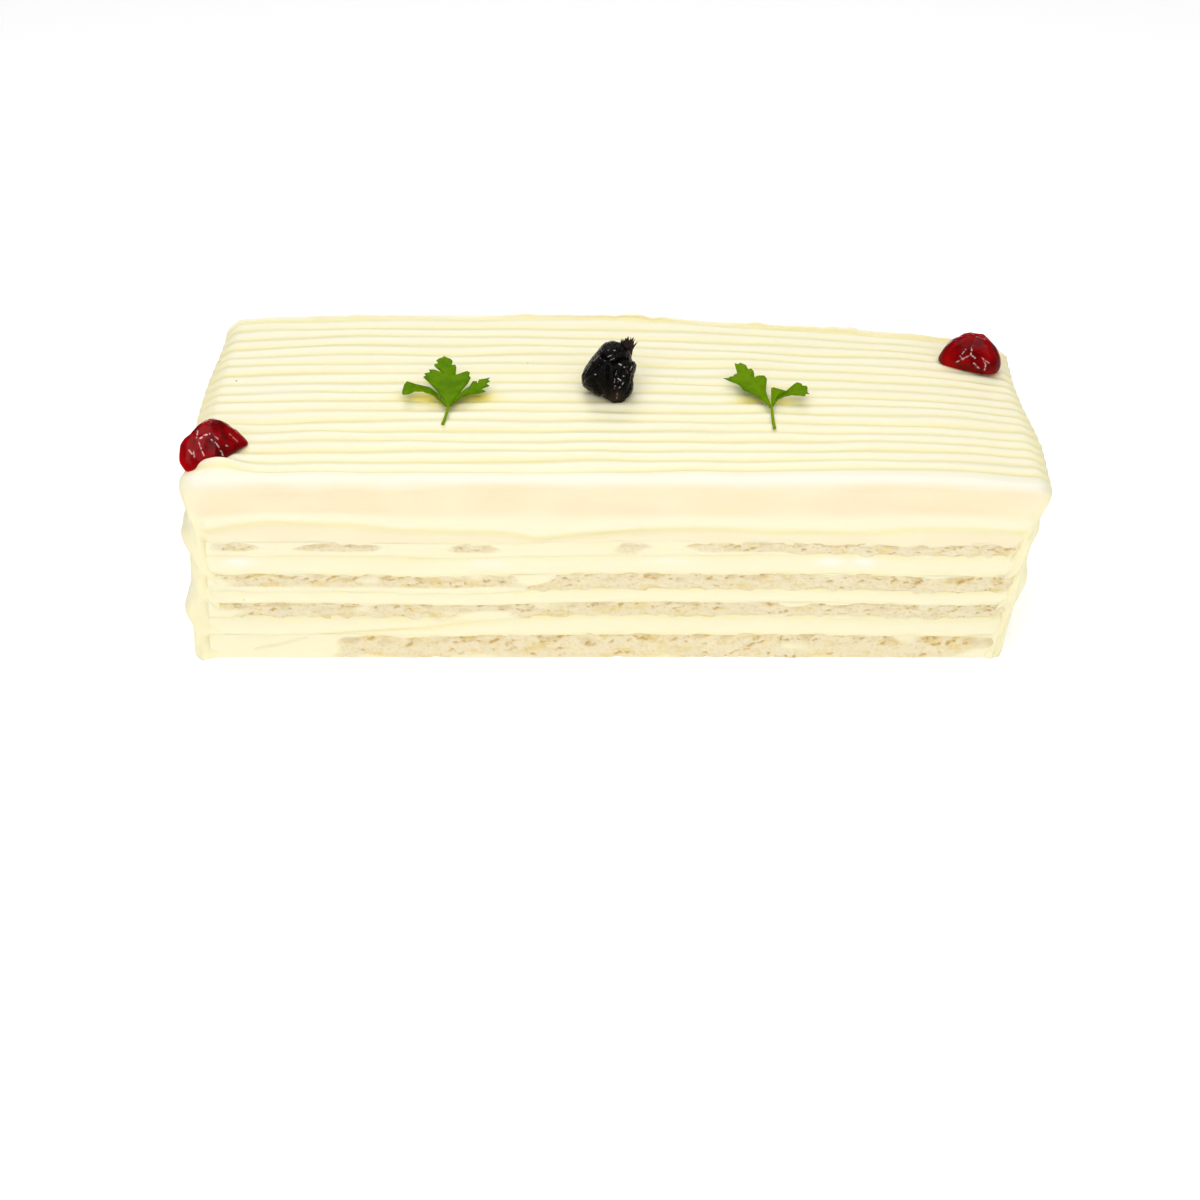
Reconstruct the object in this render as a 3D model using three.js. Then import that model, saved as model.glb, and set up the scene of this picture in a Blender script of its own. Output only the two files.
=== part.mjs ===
// Layered sandwich cake: four slices of bread with three cream fillings, a thick cream
// covering combed into lengthwise ridges, and a topping of two cherries, a prune and
// two sprigs of parsley.
//
// Millimetres. +X is the length, +Y the depth towards the back, +Z is up.
// The origin is the centre of the bottom face.
//
// Every piece is shaped in a straight block first. settle() then leans, tucks and
// sags that block, as the weight of the cream does, so neighbours keep their gaps.

import * as THREE from 'three';
import { mergeVertices } from 'three/addons/utils/BufferGeometryUtils.js';

const { lerp, clamp, smoothstep } = THREE.MathUtils;

// The straight block
const LEFT_FACE = -141;
const RIGHT_FACE = 140.4;
const DEPTH = 107;
const HEIGHT = 75;
const GAP = 0.3;

// Layers from the floor up: the height of each one's top face
const LAYERS = [
  ['bread_1', 10.6],
  ['filling_1', 17.5],
  ['bread_2', 24.6],
  ['filling_2', 28.8],
  ['bread_3', 36.6],
  ['filling_3', 43.8],
  ['bread_4', 49.7],
];
const BREAD_RECESS = 1.7;
const BREAD_ROUGHNESS = 0.45;
const FILLING_RECESS = 0.6;
const FILLING_BULGE = 1.4;

// Cream covering
const LEFT_COAT = 7.6;
const RIGHT_COAT = 5.6;
const TOP_CORNER_RADIUS = 5.5;
const INNER_CORNER_RADIUS = 0.5;
const FOLD_WANDER = 1.5;
const RIDGE_PITCH = 6.06;
const RIDGE_COUNT = 16;
const FIRST_VALLEY = -47.3;
const RIDGE_DEPTH = 1.5;
const RIDGE_WANDER = 0.35;
const RIDGE_FADE_HEIGHT = 50;
const RIDGE_DRIFT = 3.5;
const RIDGE_CLEARANCE = 0.6;

// How the block has settled
const LEAN = 6.7;
const SAG_START = -20;
const SAG_POWER = 1.25;
const BACK_TUCK = 8;
const BACK_SAG = 6;
const END_SAG = 2.2;
const END_SAG_REACH = 45;
const LEFT_SAG = 1.2;
const LAYER_WAVE = 0.7;
const LONG_WAVE = 29;
const SHORT_WAVE = 13;
const WAVE_CLEARANCE = 10;

const HALF_DEPTH = DEPTH / 2;
const ROOF = LAYERS[LAYERS.length - 1][1];
const SAG_FLOOR = ROOF + 2;
const INNER_LEFT = LEFT_FACE + LEFT_COAT;
const INNER_RIGHT = RIGHT_FACE - RIGHT_COAT;

// Steps along the top, up an end coat and round a top corner
const LENGTH_STEPS = 22;
const END_STEPS = 9;
const CORNER_STEPS = 5;

// Cream folds that stand out of the end coats: height, reach and half-height
const LEFT_FOLDS = { base: -0.6, folds: [[23, 2.6, 5], [53, 2.8, 3.4], [68, 2.2, 6]] };
const RIGHT_FOLDS = { base: -1.6, folds: [[33, 2.6, 6.5], [56, 2.2, 3.6], [67, 3.6, 6]] };

// Share of the settling that has set in at a place along the cake: none at the left
// and the middle, all of it at the right end.
function rightShare(x) {
  return clamp((x - SAG_START) / (RIGHT_FACE - SAG_START), 0, 1) ** SAG_POWER;
}

// Moves a point of the straight block to where it lies in the settled cake.
function settle(point) {
  const up = point.z / HEIGHT;
  const right = rightShare(point.x);
  const rightEnd = smoothstep(point.x, RIGHT_FACE - END_SAG_REACH, RIGHT_FACE);
  const leftEnd = smoothstep(-point.x, -LEFT_FACE - END_SAG_REACH, -LEFT_FACE);
  const back = (point.y + HALF_DEPTH) / DEPTH;
  const inCream = smoothstep(point.z, SAG_FLOOR, HEIGHT);
  const inLayers = Math.sin(Math.PI * clamp(point.z / (HEIGHT - WAVE_CLEARANCE), 0, 1));
  const sag = right * BACK_SAG * back + rightEnd * END_SAG + leftEnd * LEFT_SAG * (0.5 + back);
  const wave = Math.sin(point.x / LONG_WAVE + 0.6) + 0.4 * Math.sin(point.x / SHORT_WAVE + 2);
  return new THREE.Vector3(
    point.x + LEAN * (up - 0.5),
    point.y - BACK_TUCK * right * back,
    point.z - sag * inCream + LAYER_WAVE * inLayers * wave,
  );
}

// Closed solid through a row of rings with equal point counts. Each end is closed
// by a fan about the ring's middle.
function loft(rings) {
  const count = rings[0].length;
  const positions = [];
  const faces = [];
  rings.forEach((ring) => ring.forEach((point) => positions.push(...settle(point).toArray())));
  for (let i = 0; i + 1 < rings.length; i += 1) {
    for (let j = 0; j < count; j += 1) {
      const a = i * count + j;
      const b = i * count + ((j + 1) % count);
      faces.push(a, b + count, b, a, a + count, b + count);
    }
  }
  const close = (ring, first, flip) => {
    const middle = positions.length / 3;
    const centre = ring.reduce((sum, point) => sum.add(point), new THREE.Vector3());
    positions.push(...settle(centre.divideScalar(count)).toArray());
    for (let j = 0; j < count; j += 1) {
      const pair = [first + j, first + ((j + 1) % count)];
      faces.push(middle, pair[flip ? 1 : 0], pair[flip ? 0 : 1]);
    }
  };
  close(rings[0], 0, false);
  close(rings[rings.length - 1], (rings.length - 1) * count, true);
  const geometry = new THREE.BufferGeometry();
  geometry.setAttribute('position', new THREE.Float32BufferAttribute(positions, 3));
  geometry.setIndex(faces);
  return geometry;
}

// Heights and setbacks of a slice's sides, from its bottom to its top
const SLICE_SIDE = [[0, 0.5], [0.22, 0], [0.5, 0.25], [0.78, 0], [1, 0.5]];
const FILLING_SIDE = [[0, 1.1], [0.16, 0.35], [0.5, 0], [0.84, 0.35], [1, 1.1]];

// One layer: a section in Y and Z carried along X. outward(x, height, side) says how
// far the side stands out of its resting plane.
function layer(bottom, top, side, outward) {
  const rings = [];
  for (let i = 0; i <= LENGTH_STEPS; i += 1) {
    const x = lerp(INNER_LEFT + GAP, INNER_RIGHT - GAP, i / LENGTH_STEPS);
    const ring = [];
    for (const [rise, setback] of side) {
      const y = -HALF_DEPTH + setback - outward(x, rise, 0);
      ring.push(new THREE.Vector3(x, y, lerp(bottom, top, rise)));
    }
    for (const [rise, setback] of [...side].reverse()) {
      const y = HALF_DEPTH - setback + outward(x, rise, 1);
      ring.push(new THREE.Vector3(x, y, lerp(bottom, top, rise)));
    }
    rings.push(ring);
  }
  return loft(rings);
}

// The cut face of a slice is set back and uneven.
function slice(bottom, top, seed) {
  const outward = (x, rise, side) => {
    const along = x / 6 + seed * 2.3 + side * 4;
    return BREAD_ROUGHNESS * Math.sin(along) * Math.cos(rise * 5 + x / 11) - BREAD_RECESS;
  };
  return layer(bottom, top, SLICE_SIDE, outward);
}

// A filling bulges between its slices, more in some places than in others.
function filling(bottom, top, seed) {
  const outward = (x, rise, side) => {
    const swell = 0.55 + 0.3 * Math.sin(x / 17 + seed * 1.9 + side) + 0.15 * Math.sin(x / 7 + seed);
    return FILLING_BULGE * swell * Math.sin(Math.PI * rise) - FILLING_RECESS;
  };
  return layer(bottom, top, FILLING_SIDE, outward);
}

// Side of the covering, from the layers outwards: share of the cream's thickness, and
// how far it stands out of the front or back plane, along the top and on an end coat
const COVER_SIDE = [
  { share: 0, top: -1.4, end: -0.8 },
  { share: 0.1, top: -0.9, end: -0.2 },
  { share: 0.28, top: 0.8, end: 0 },
  { share: 0.5, top: -0.2, end: -0.3 },
  { share: 0.72, top: -0.7, end: -0.9 },
  { share: 0.88, top: -0.2, end: -1.9 },
  { share: 0.96, top: -0.7, end: -3 },
  { share: 1, top: -2.4, end: -4.8 },
];

// Reach of the end coat's cream folds at a height. The folds wander across the end.
function endRelief({ base, folds }, z, y) {
  let out = base;
  for (const [height, reach, spread] of folds) {
    const away = (z - height - FOLD_WANDER * Math.sin(y / 19 + height)) / spread;
    out += reach * (0.75 + 0.25 * Math.cos(y / 14 + height)) * Math.exp(-away * away);
  }
  return out * smoothstep(HEIGHT - z, 0, 5);
}

// Stations of the covering, up the left end, along the top and down the right end.
// Each has a point on the outer face, its normal, the matching point on the inner
// face, and how much of the top it is: 0 on an end coat, 1 along the top.
function coverStations() {
  const stations = [];
  const shoulder = HEIGHT - TOP_CORNER_RADIUS;
  const innerShoulder = ROOF + GAP - INNER_CORNER_RADIUS;
  const end = (face, inner, normalX) => {
    const rows = [];
    for (let i = 0; i < END_STEPS; i += 1) {
      const share = i / END_STEPS;
      rows.push({
        outer: new THREE.Vector3(face, 0, shoulder * share),
        inner: new THREE.Vector3(inner, 0, innerShoulder * share),
        normal: new THREE.Vector3(normalX, 0, 0),
        top: 0,
      });
    }
    for (let i = 0; i < CORNER_STEPS; i += 1) {
      const angle = (i / CORNER_STEPS) * (Math.PI / 2);
      const normal = new THREE.Vector3(normalX * Math.cos(angle), 0, Math.sin(angle));
      const outerCentre = new THREE.Vector3(face - normalX * TOP_CORNER_RADIUS, 0, shoulder);
      const innerCentre = new THREE.Vector3(inner - normalX * INNER_CORNER_RADIUS, 0, innerShoulder);
      rows.push({
        outer: outerCentre.addScaledVector(normal, TOP_CORNER_RADIUS),
        inner: innerCentre.addScaledVector(normal, INNER_CORNER_RADIUS),
        normal,
        top: smoothstep(angle, 0, Math.PI / 2),
      });
    }
    return rows;
  };
  stations.push(...end(LEFT_FACE, INNER_LEFT, -1));
  for (let i = 0; i <= LENGTH_STEPS; i += 1) {
    const share = i / LENGTH_STEPS;
    const outerX = lerp(LEFT_FACE + TOP_CORNER_RADIUS, RIGHT_FACE - TOP_CORNER_RADIUS, share);
    const innerX = lerp(INNER_LEFT + INNER_CORNER_RADIUS, INNER_RIGHT - INNER_CORNER_RADIUS, share);
    stations.push({
      outer: new THREE.Vector3(outerX, 0, HEIGHT),
      inner: new THREE.Vector3(innerX, 0, ROOF + GAP),
      normal: new THREE.Vector3(0, 0, 1),
      top: 1,
    });
  }
  stations.push(...end(RIGHT_FACE, INNER_RIGHT, 1).reverse());
  return stations;
}

// Combed relief across the covering: narrow valleys between broad ridges. Each valley
// wanders a little, those at the front drift to the back at the right end, and the
// comb's marks fade down the end coats.
const RIDGE_POINTS = [0, 0.27, 0.73];
function combLine(station, halfWidth) {
  const fade = smoothstep(station.outer.z, RIDGE_FADE_HEIGHT, HEIGHT - TOP_CORNER_RADIUS);
  const narrowing = halfWidth / (HALF_DEPTH + COVER_SIDE[COVER_SIDE.length - 1].top);
  const drift = RIDGE_DRIFT * rightShare(station.outer.x) * station.top;
  const line = [];
  for (let k = 0; k <= RIDGE_COUNT; k += 1) {
    for (const part of RIDGE_POINTS) {
      const wander = RIDGE_WANDER * Math.sin(station.outer.x / 31 + k * 1.7);
      const forward = drift * (1 - k / RIDGE_COUNT);
      const y = (FIRST_VALLEY + (k + part) * RIDGE_PITCH + wander + forward) * narrowing;
      if (y < halfWidth - RIDGE_CLEARANCE) {
        line.push({ y, out: part === 0 ? -RIDGE_DEPTH * fade : 0 });
      }
    }
  }
  return line;
}

function covering() {
  const rings = coverStations().map((station) => {
    const folds = station.outer.x < 0 ? LEFT_FOLDS : RIGHT_FOLDS;
    const place = (share, y, out) => {
      const relief = share * (out + (1 - station.top) * endRelief(folds, station.outer.z, y));
      const point = station.inner.clone().lerp(station.outer, share);
      point.addScaledVector(station.normal, relief);
      return point.setY(y);
    };
    const setback = (row) => lerp(row.end, row.top, station.top);
    const ring = COVER_SIDE.map((row) => place(row.share, -HALF_DEPTH - setback(row), 0));
    const halfWidth = HALF_DEPTH + setback(COVER_SIDE[COVER_SIDE.length - 1]);
    ring.push(...combLine(station, halfWidth).map(({ y, out }) => place(1, y, out)));
    const backSide = [...COVER_SIDE].reverse();
    ring.push(...backSide.map((row) => place(row.share, HALF_DEPTH + setback(row), 0)));
    return ring;
  });
  return loft(rings);
}

// A point on the covering's crests: the distance along the top from its middle, going
// round the end corners, the depth, and the height off the cream.
function onCream(along, y, height) {
  const straight = (along < 0 ? -LEFT_FACE : RIGHT_FACE) - TOP_CORNER_RADIUS;
  const past = Math.max(Math.abs(along) - straight, 0);
  const angle = Math.min(past / TOP_CORNER_RADIUS, Math.PI / 2);
  const onTop = smoothstep(Math.PI / 2 - angle, 0, Math.PI / 2);
  const faceZ = HEIGHT - TOP_CORNER_RADIUS * (1 - Math.cos(angle));
  const relief = (1 - onTop) * endRelief(along < 0 ? LEFT_FOLDS : RIGHT_FOLDS, faceZ, y);
  const reach = TOP_CORNER_RADIUS + relief + height;
  const down = past - angle * TOP_CORNER_RADIUS;
  const x = Math.min(Math.abs(along), straight) + reach * Math.sin(angle);
  const z = HEIGHT - TOP_CORNER_RADIUS + reach * Math.cos(angle) - down;
  return settle(new THREE.Vector3(Math.sign(along) * x, y, z));
}

// Moves every vertex of a geometry, and joins the vertices that meet.
function reshape(source, move) {
  source.deleteAttribute('normal');
  source.deleteAttribute('uv');
  const geometry = mergeVertices(source, 1e-4);
  const positions = geometry.getAttribute('position');
  const vertex = new THREE.Vector3();
  for (let i = 0; i < positions.count; i += 1) {
    vertex.fromBufferAttribute(positions, i);
    const moved = move(vertex);
    positions.setXYZ(i, moved.x, moved.y, moved.z);
  }
  return geometry;
}

// A candied cherry half lies flat side down on the cream: where its middle is, its size
// each way, and how far it is turned and raised.
const FRONT_CHERRY = {
  along: -131.8,
  y: -37.2,
  halfLength: 10.9,
  backReach: 9.8,
  frontReach: 5,
  height: 8.9,
  turn: 0.34,
  seat: 0.9,
};
const BACK_CHERRY = {
  along: 124.2,
  y: 30.8,
  halfLength: 10.8,
  backReach: 9.4,
  frontReach: 5.6,
  height: 9.2,
  turn: -0.12,
  seat: 0.4,
};

// Half profile of a cherry half, from the middle of its underside
const CHERRY_PROFILE = [
  [0, 0], [0.45, 0], [0.85, 0.01], [0.98, 0.06], [1, 0.18],
  [0.95, 0.42], [0.82, 0.66], [0.6, 0.86], [0.32, 0.97], [0, 1],
];
const CHERRY_SIDES = 18;
const CHERRY_LOBES = 0.03;
function cherry({ along, y, halfLength, backReach, frontReach, height, turn, seat }) {
  const profile = CHERRY_PROFILE.map(([radius, rise]) => new THREE.Vector2(radius, rise));
  return reshape(new THREE.LatheGeometry(profile, CHERRY_SIDES), (vertex) => {
    const angle = Math.atan2(-vertex.z, vertex.x);
    const lobes = 1 + CHERRY_LOBES * Math.sin(3 * angle + turn);
    const u = vertex.x * lobes * halfLength;
    const v = -vertex.z * lobes * (vertex.z < 0 ? backReach : frontReach);
    return onCream(
      along + u * Math.cos(turn) - v * Math.sin(turn),
      y + u * Math.sin(turn) + v * Math.cos(turn),
      seat + vertex.y * height,
    );
  });
}

// The prune is a squat wrinkled ball with creases running to a dry tuft at its top end.
const PRUNE = {
  x: -3.5,
  y: 0.2,
  halfWidth: 9.2,
  halfDepth: 13,
  halfHeight: 8.2,
  sink: 1.6,
  creases: 7,
  creaseDepth: 0.07,
  swell: 0.05,
  tuft: 4.6,
  tuftSpread: 0.28,
  taper: 0.16,
};
const TUFT_DIRECTION = new THREE.Vector3(0.42, 0.62, 0.66).normalize();
function prune() {
  return reshape(new THREE.SphereGeometry(1, 26, 17), (vertex) => {
    const direction = vertex.clone().normalize();
    const toTuft = direction.angleTo(TUFT_DIRECTION);
    const round = Math.atan2(direction.z + 0.4 * direction.y, direction.x);
    const wave = Math.sin(PRUNE.creases * round + 2.2 * direction.y);
    const crease = PRUNE.creaseDepth * Math.sin(toTuft) * (Math.abs(wave) - 0.6);
    const dents = PRUNE.swell * Math.sin(2.3 * direction.x + 3.1 * direction.z + 1);
    const swell = 1 + crease + dents;
    const tuft = PRUNE.tuft * Math.exp(-((toTuft / PRUNE.tuftSpread) ** 2));
    const width = PRUNE.halfWidth * swell * (1 - PRUNE.taper * direction.y);
    const height = direction.z * PRUNE.halfHeight * swell + PRUNE.halfHeight - PRUNE.sink;
    const point = new THREE.Vector3(
      PRUNE.x + direction.x * width,
      PRUNE.y + direction.y * PRUNE.halfDepth * swell,
      Math.max(height, GAP),
    );
    point.addScaledVector(TUFT_DIRECTION, tuft);
    return onCream(point.x, point.y, point.z);
  });
}

// A sprig of parsley is one thin leaf plate with its stalk. The outline is in
// millimetres from the fork of the stalk, +X along the cake, +Y up the leaf, which
// tilts up towards the back.
const LEAF_THICKNESS = 0.5;
const LEAF_TILT = THREE.MathUtils.degToRad(11);
const LEAF_WAVE = 0.35;
const STALK_LIFT = 1.2;
const STALK_LENGTH = 12;
const LEFT_SPRIG = {
  fork: [-57.6, -11.5],
  outline: [
    [-1.4, -11.2], [-0.5, -11.2], [0.5, 0], [1.6, 2.1], [4.1, 5.7], [8.6, 7.8], [12.5, 8.4],
    [10.6, 9.6], [13.4, 11], [12.9, 15], [8.9, 14.2], [6.3, 12], [6.7, 16.2], [5.5, 17.6],
    [1.4, 15.1], [1.4, 19.5], [-0.4, 22.2], [-2.9, 24.4], [-5.1, 22.8], [-6.2, 20.6],
    [-3.4, 17.4], [-7.9, 18.3], [-9.5, 14.6], [-5.1, 8.5], [-2.4, 4.2], [-4.1, 6.2], [-6.5, 8.8],
    [-11.5, 11], [-15.3, 12.2], [-16.3, 6.7], [-15.4, 5.5], [-12.6, 7.3], [-10.6, 8.5],
    [-5.9, 4.6], [-3.3, 3.4], [-0.6, 0],
  ],
};
const RIGHT_SPRIG = {
  fork: [51.6, -8],
  outline: [
    [-0.5, -14.2], [0.6, -14], [0.6, 0], [1.2, 3.1], [2.7, 4.8], [5.3, 6.1], [11.6, 5.4],
    [13.9, 6.7], [13.4, 9.9], [9.9, 11.8], [8.6, 11.1], [4.7, 7.2], [6.3, 9.1], [1, 10.2],
    [0.6, 5.9], [-0.3, 2.9], [-1.1, 6.4], [-0.8, 9.1], [-0.2, 15.2], [-2.4, 15.9], [-4, 14.8],
    [-4.5, 17.4], [-6.4, 18.2], [-9.2, 20.9], [-11, 21], [-10.5, 16.1], [-13.2, 15],
    [-15.6, 14.7], [-10.9, 11.5], [-8.7, 7.9], [-6.6, 6.8], [-4.4, 4.5], [-2.3, 1.8], [-0.7, 0],
  ],
};
function sprig({ fork, outline }) {
  const shape = new THREE.Shape(outline.map(([x, y]) => new THREE.Vector2(x, y)));
  const plate = new THREE.ExtrudeGeometry(shape, { depth: LEAF_THICKNESS, bevelEnabled: false });
  return reshape(plate, (vertex) => {
    const upLeaf = Math.max(vertex.y, 0);
    const wave = LEAF_WAVE * Math.sin(vertex.x / 2.4) * smoothstep(upLeaf, 2, 9);
    const stalk = STALK_LIFT * smoothstep(vertex.y, -STALK_LENGTH, 0);
    const rise = GAP + stalk + upLeaf * Math.sin(LEAF_TILT) + wave;
    const y = Math.min(vertex.y, 0) + upLeaf * Math.cos(LEAF_TILT);
    return onCream(fork[0] + vertex.x, fork[1] + y, rise + vertex.z);
  });
}

// Finishes
const finish = (color, roughness) => new THREE.MeshStandardMaterial({ color, roughness, metalness: 0 });
const CREAM = finish(0xfdf8d4, 0.5);
const BREAD = finish(0xf0e1b6, 0.95);
const CHERRY_RED = finish(0x8d1c1e, 0.2);
const PRUNE_BLACK = finish(0x23201d, 0.3);
const LEAF_GREEN = finish(0x608807, 0.6);

const cake = new THREE.Group();
function add(name, geometry, material) {
  const mesh = new THREE.Mesh(geometry, material);
  mesh.name = name;
  cake.add(mesh);
}

LAYERS.forEach(([name, top], index) => {
  const bottom = index === 0 ? 0 : LAYERS[index - 1][1] + GAP;
  const isBread = name.startsWith('bread');
  const make = isBread ? slice : filling;
  add(name, make(bottom, top, index), isBread ? BREAD : CREAM);
});
add('icing', covering(), CREAM);
add('cherry_front', cherry(FRONT_CHERRY), CHERRY_RED);
add('cherry_back', cherry(BACK_CHERRY), CHERRY_RED);
add('prune', prune(), PRUNE_BLACK);
add('parsley_left', sprig(LEFT_SPRIG), LEAF_GREEN);
add('parsley_right', sprig(RIGHT_SPRIG), LEAF_GREEN);

export default cake;
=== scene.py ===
import math

import bpy
import numpy as np
from bpy.props import FloatProperty, FloatVectorProperty, PointerProperty
from mathutils import Euler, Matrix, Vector


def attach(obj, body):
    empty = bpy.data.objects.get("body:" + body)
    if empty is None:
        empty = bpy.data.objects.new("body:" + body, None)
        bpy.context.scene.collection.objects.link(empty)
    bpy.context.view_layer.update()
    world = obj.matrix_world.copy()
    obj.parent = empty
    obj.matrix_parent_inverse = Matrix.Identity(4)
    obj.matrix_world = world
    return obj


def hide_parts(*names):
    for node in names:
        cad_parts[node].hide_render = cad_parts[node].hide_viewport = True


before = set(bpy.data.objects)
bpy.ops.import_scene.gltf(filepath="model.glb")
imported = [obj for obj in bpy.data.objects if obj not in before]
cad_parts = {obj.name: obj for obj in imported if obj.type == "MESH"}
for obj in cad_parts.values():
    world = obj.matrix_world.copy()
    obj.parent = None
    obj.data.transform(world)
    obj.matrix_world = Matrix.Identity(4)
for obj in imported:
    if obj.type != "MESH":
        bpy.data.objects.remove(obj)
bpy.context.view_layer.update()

bl_info = {
    "name": "Sandwich Cake",
    "version": (1, 0, 0),
    "blender": (4, 5, 0),
    "location": "3D View > Sidebar > Cake",
    "description": "Layered sandwich cake with combed cream, cherries, a prune and parsley",
    "category": "Object",
}

# Every shape is worked out in millimetres, first in a straight block and then settled.
MM = 0.001

# The straight block, as the solids have it
LEFT_FACE = -141.0
RIGHT_FACE = 140.4
DEPTH = 107.0
HEIGHT = 75.0
GAP = 0.3
HALF_DEPTH = DEPTH / 2

# Height of each layer's top face, from the floor up
LAYER_TOPS = {
    "bread_1": 10.6,
    "filling_1": 17.5,
    "bread_2": 24.6,
    "filling_2": 28.8,
    "bread_3": 36.6,
    "filling_3": 43.8,
    "bread_4": 49.7,
}
ROOF = LAYER_TOPS["bread_4"]

# Cream covering
LEFT_COAT = 7.6
RIGHT_COAT = 5.6
INNER_LEFT = LEFT_FACE + LEFT_COAT
INNER_RIGHT = RIGHT_FACE - RIGHT_COAT
TOP_CORNER_RADIUS = 5.5
INNER_CORNER_RADIUS = 0.5
RIDGE_PITCH = 6.06
RIDGE_COUNT = 16
FIRST_VALLEY = -47.3
RIDGE_FADE_HEIGHT = 50.0
RIDGE_DRIFT = 3.5
FOLD_WANDER = 1.5
RIGHT_DROP = 0.7
CORNER_BULGE = 2.6
CORNER_HEIGHT = 73.2

# Soft folds of the end coats: the height of each, how far it stands out, its spread and
# how far it drops towards the corners
LEFT_FOLDS = {"base": -0.8, "folds": [(23, 2.8, 5, 5), (53, 2.9, 2.5, 2.5), (69, 3.5, 4.8, 0)]}
RIGHT_FOLDS = {"base": -1.4, "folds": [(34, 2.3, 5.5, 1), (57, 2.6, 3.6, 1), (70.5, 3.8, 4.8, 0)]}

# How the block has settled
LEAN = 6.7
SAG_START = -20.0
SAG_POWER = 1.25
BACK_TUCK = 8.0
BACK_SAG = 6.0
END_SAG = 2.2
END_SAG_REACH = 45.0
LEFT_SAG = 1.2
LAYER_WAVE = 0.7
LONG_WAVE = 29.0
SHORT_WAVE = 13.0
WAVE_CLEARANCE = 10.0
SAG_FLOOR = ROOF + 2

# Mesh steps
TOP_STEPS = 200
END_STEPS = 60
CORNER_STEPS = 9
RIDGE_STEPS = 12
SIDE_STEPS = 40
INNER_STEPS = 9
BAND_STEPS = 560
BAND_ROWS = 26
BAND_COLUMNS = 4
CHERRY_RINGS = 180
CHERRY_STEPS = 400
PRUNE_RINGS = 280
PRUNE_STEPS = 330
SPIKE_RINGS = 10
SPIKE_STEPS = 8
LEAF_STATIONS = 241
LEAF_COLUMNS = 9
STALK_RINGS = 30
STALK_STEPS = 14

# Cells along one side of the field of scattered points, after which it repeats
FIELD_CELLS = 512

# Heights over which the random relief of a covering's side, a slice's face and a
# filling's face is laid
SIDE_HEIGHT = 25
SLICE_HEIGHT = 9
FILLING_HEIGHT = 6

# The photograph's camera, in its frame of 1200 pixels, and the floor's half width in metres
PHOTO_SIZE = 1200
FOCAL_PIXELS = 1950
SENSOR_WIDTH = 36.0
CAMERA_PLACE = (-3.0, -567.5, 434.8)
CAMERA_PITCH = math.radians(38.5)
FLOOR_HALF = 6.0

# Directions as seen from that camera's side
VIEW_RIGHT = np.array([1, 0, 0])
VIEW_UP = np.array([0, math.sin(CAMERA_PITCH), math.cos(CAMERA_PITCH)])
VIEW_OUT = np.array([0, -math.cos(CAMERA_PITCH), math.sin(CAMERA_PITCH)])


def smooth(value, low, high):
    """0 up to low, 1 from high on, and a smooth S curve between."""
    share = np.clip((value - low) / (high - low), 0, 1)
    return share * share * (3 - 2 * share)


def window(value, low, high, soft):
    """1 between low and high, falling smoothly to 0 within soft on either side."""
    return smooth(value, low - soft, low + soft) * (1 - smooth(value, high - soft, high + soft))


def mound(distance, width):
    """A bell of height 1 about distance 0."""
    return np.exp(-((distance / width) ** 2))


def mix(low, high, share):
    """low where share is 0 and high where it is 1."""
    return low + (high - low) * share


def curve(at, places, values):
    """Smooth line through the points (places, values): between two points, a cubic whose
    slopes at both are the mean slopes of their neighbours."""
    places, values = np.asarray(places, float), np.asarray(values, float)
    slopes = np.gradient(values, places)
    at = np.clip(at, places[0], places[-1])
    k = np.clip(np.searchsorted(places, at, side="right") - 1, 0, len(places) - 2)
    span = places[k + 1] - places[k]
    t = (at - places[k]) / span
    rise = values[k + 1] - values[k]
    bend = (slopes[k] * span - rise) * (1 - t) - (slopes[k + 1] * span - rise) * t
    return values[k] + rise * t + bend * t * (1 - t)


def ripples(a, b, size, seed, stretch=1.0, waves=22):
    """Smooth random relief of about unit height: a sum of sine waves over the plane
    (a / stretch, b), whose directions, lengths near size and phases are drawn once."""
    draw = np.random.default_rng(seed)
    turn = draw.uniform(0, np.pi, waves)
    length = size * 2 ** draw.uniform(-0.8, 0.8, waves)
    phase = draw.uniform(0, 2 * np.pi, waves)
    total = 0
    for heading, wave, shift in zip(turn, length, phase):
        along = a / stretch * np.cos(heading) + b * np.sin(heading)
        total = total + np.sin(along * 2 * np.pi / wave + shift)
    return total * math.sqrt(2 / waves)


def scattered(a, b, cell, seed):
    """Distance from each place (a, b) to the nearest of a field of points, one drawn in
    each square cell, and the number from 0 to 1 that this point was given."""
    draw = np.random.default_rng(seed)
    jitter = draw.random((FIELD_CELLS, FIELD_CELLS, 3))
    column, row = np.floor(a / cell).astype(int), np.floor(b / cell).astype(int)
    nearest = np.full(np.shape(a + b), np.inf)
    number = np.zeros_like(nearest)
    for i in (-1, 0, 1):
        for j in (-1, 0, 1):
            point = jitter[(column + i) % FIELD_CELLS, (row + j) % FIELD_CELLS]
            off_a = (column + i + point[..., 0]) * cell - a
            off_b = (row + j + point[..., 1]) * cell - b
            distance = np.hypot(off_a, off_b)
            closer = distance < nearest
            nearest = np.where(closer, distance, nearest)
            number = np.where(closer, point[..., 2], number)
    return nearest, number


def right_share(x):
    """How much of the settling has set in: none up to SAG_START, all at the right face."""
    return np.clip((x - SAG_START) / (RIGHT_FACE - SAG_START), 0, 1) ** SAG_POWER


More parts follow.
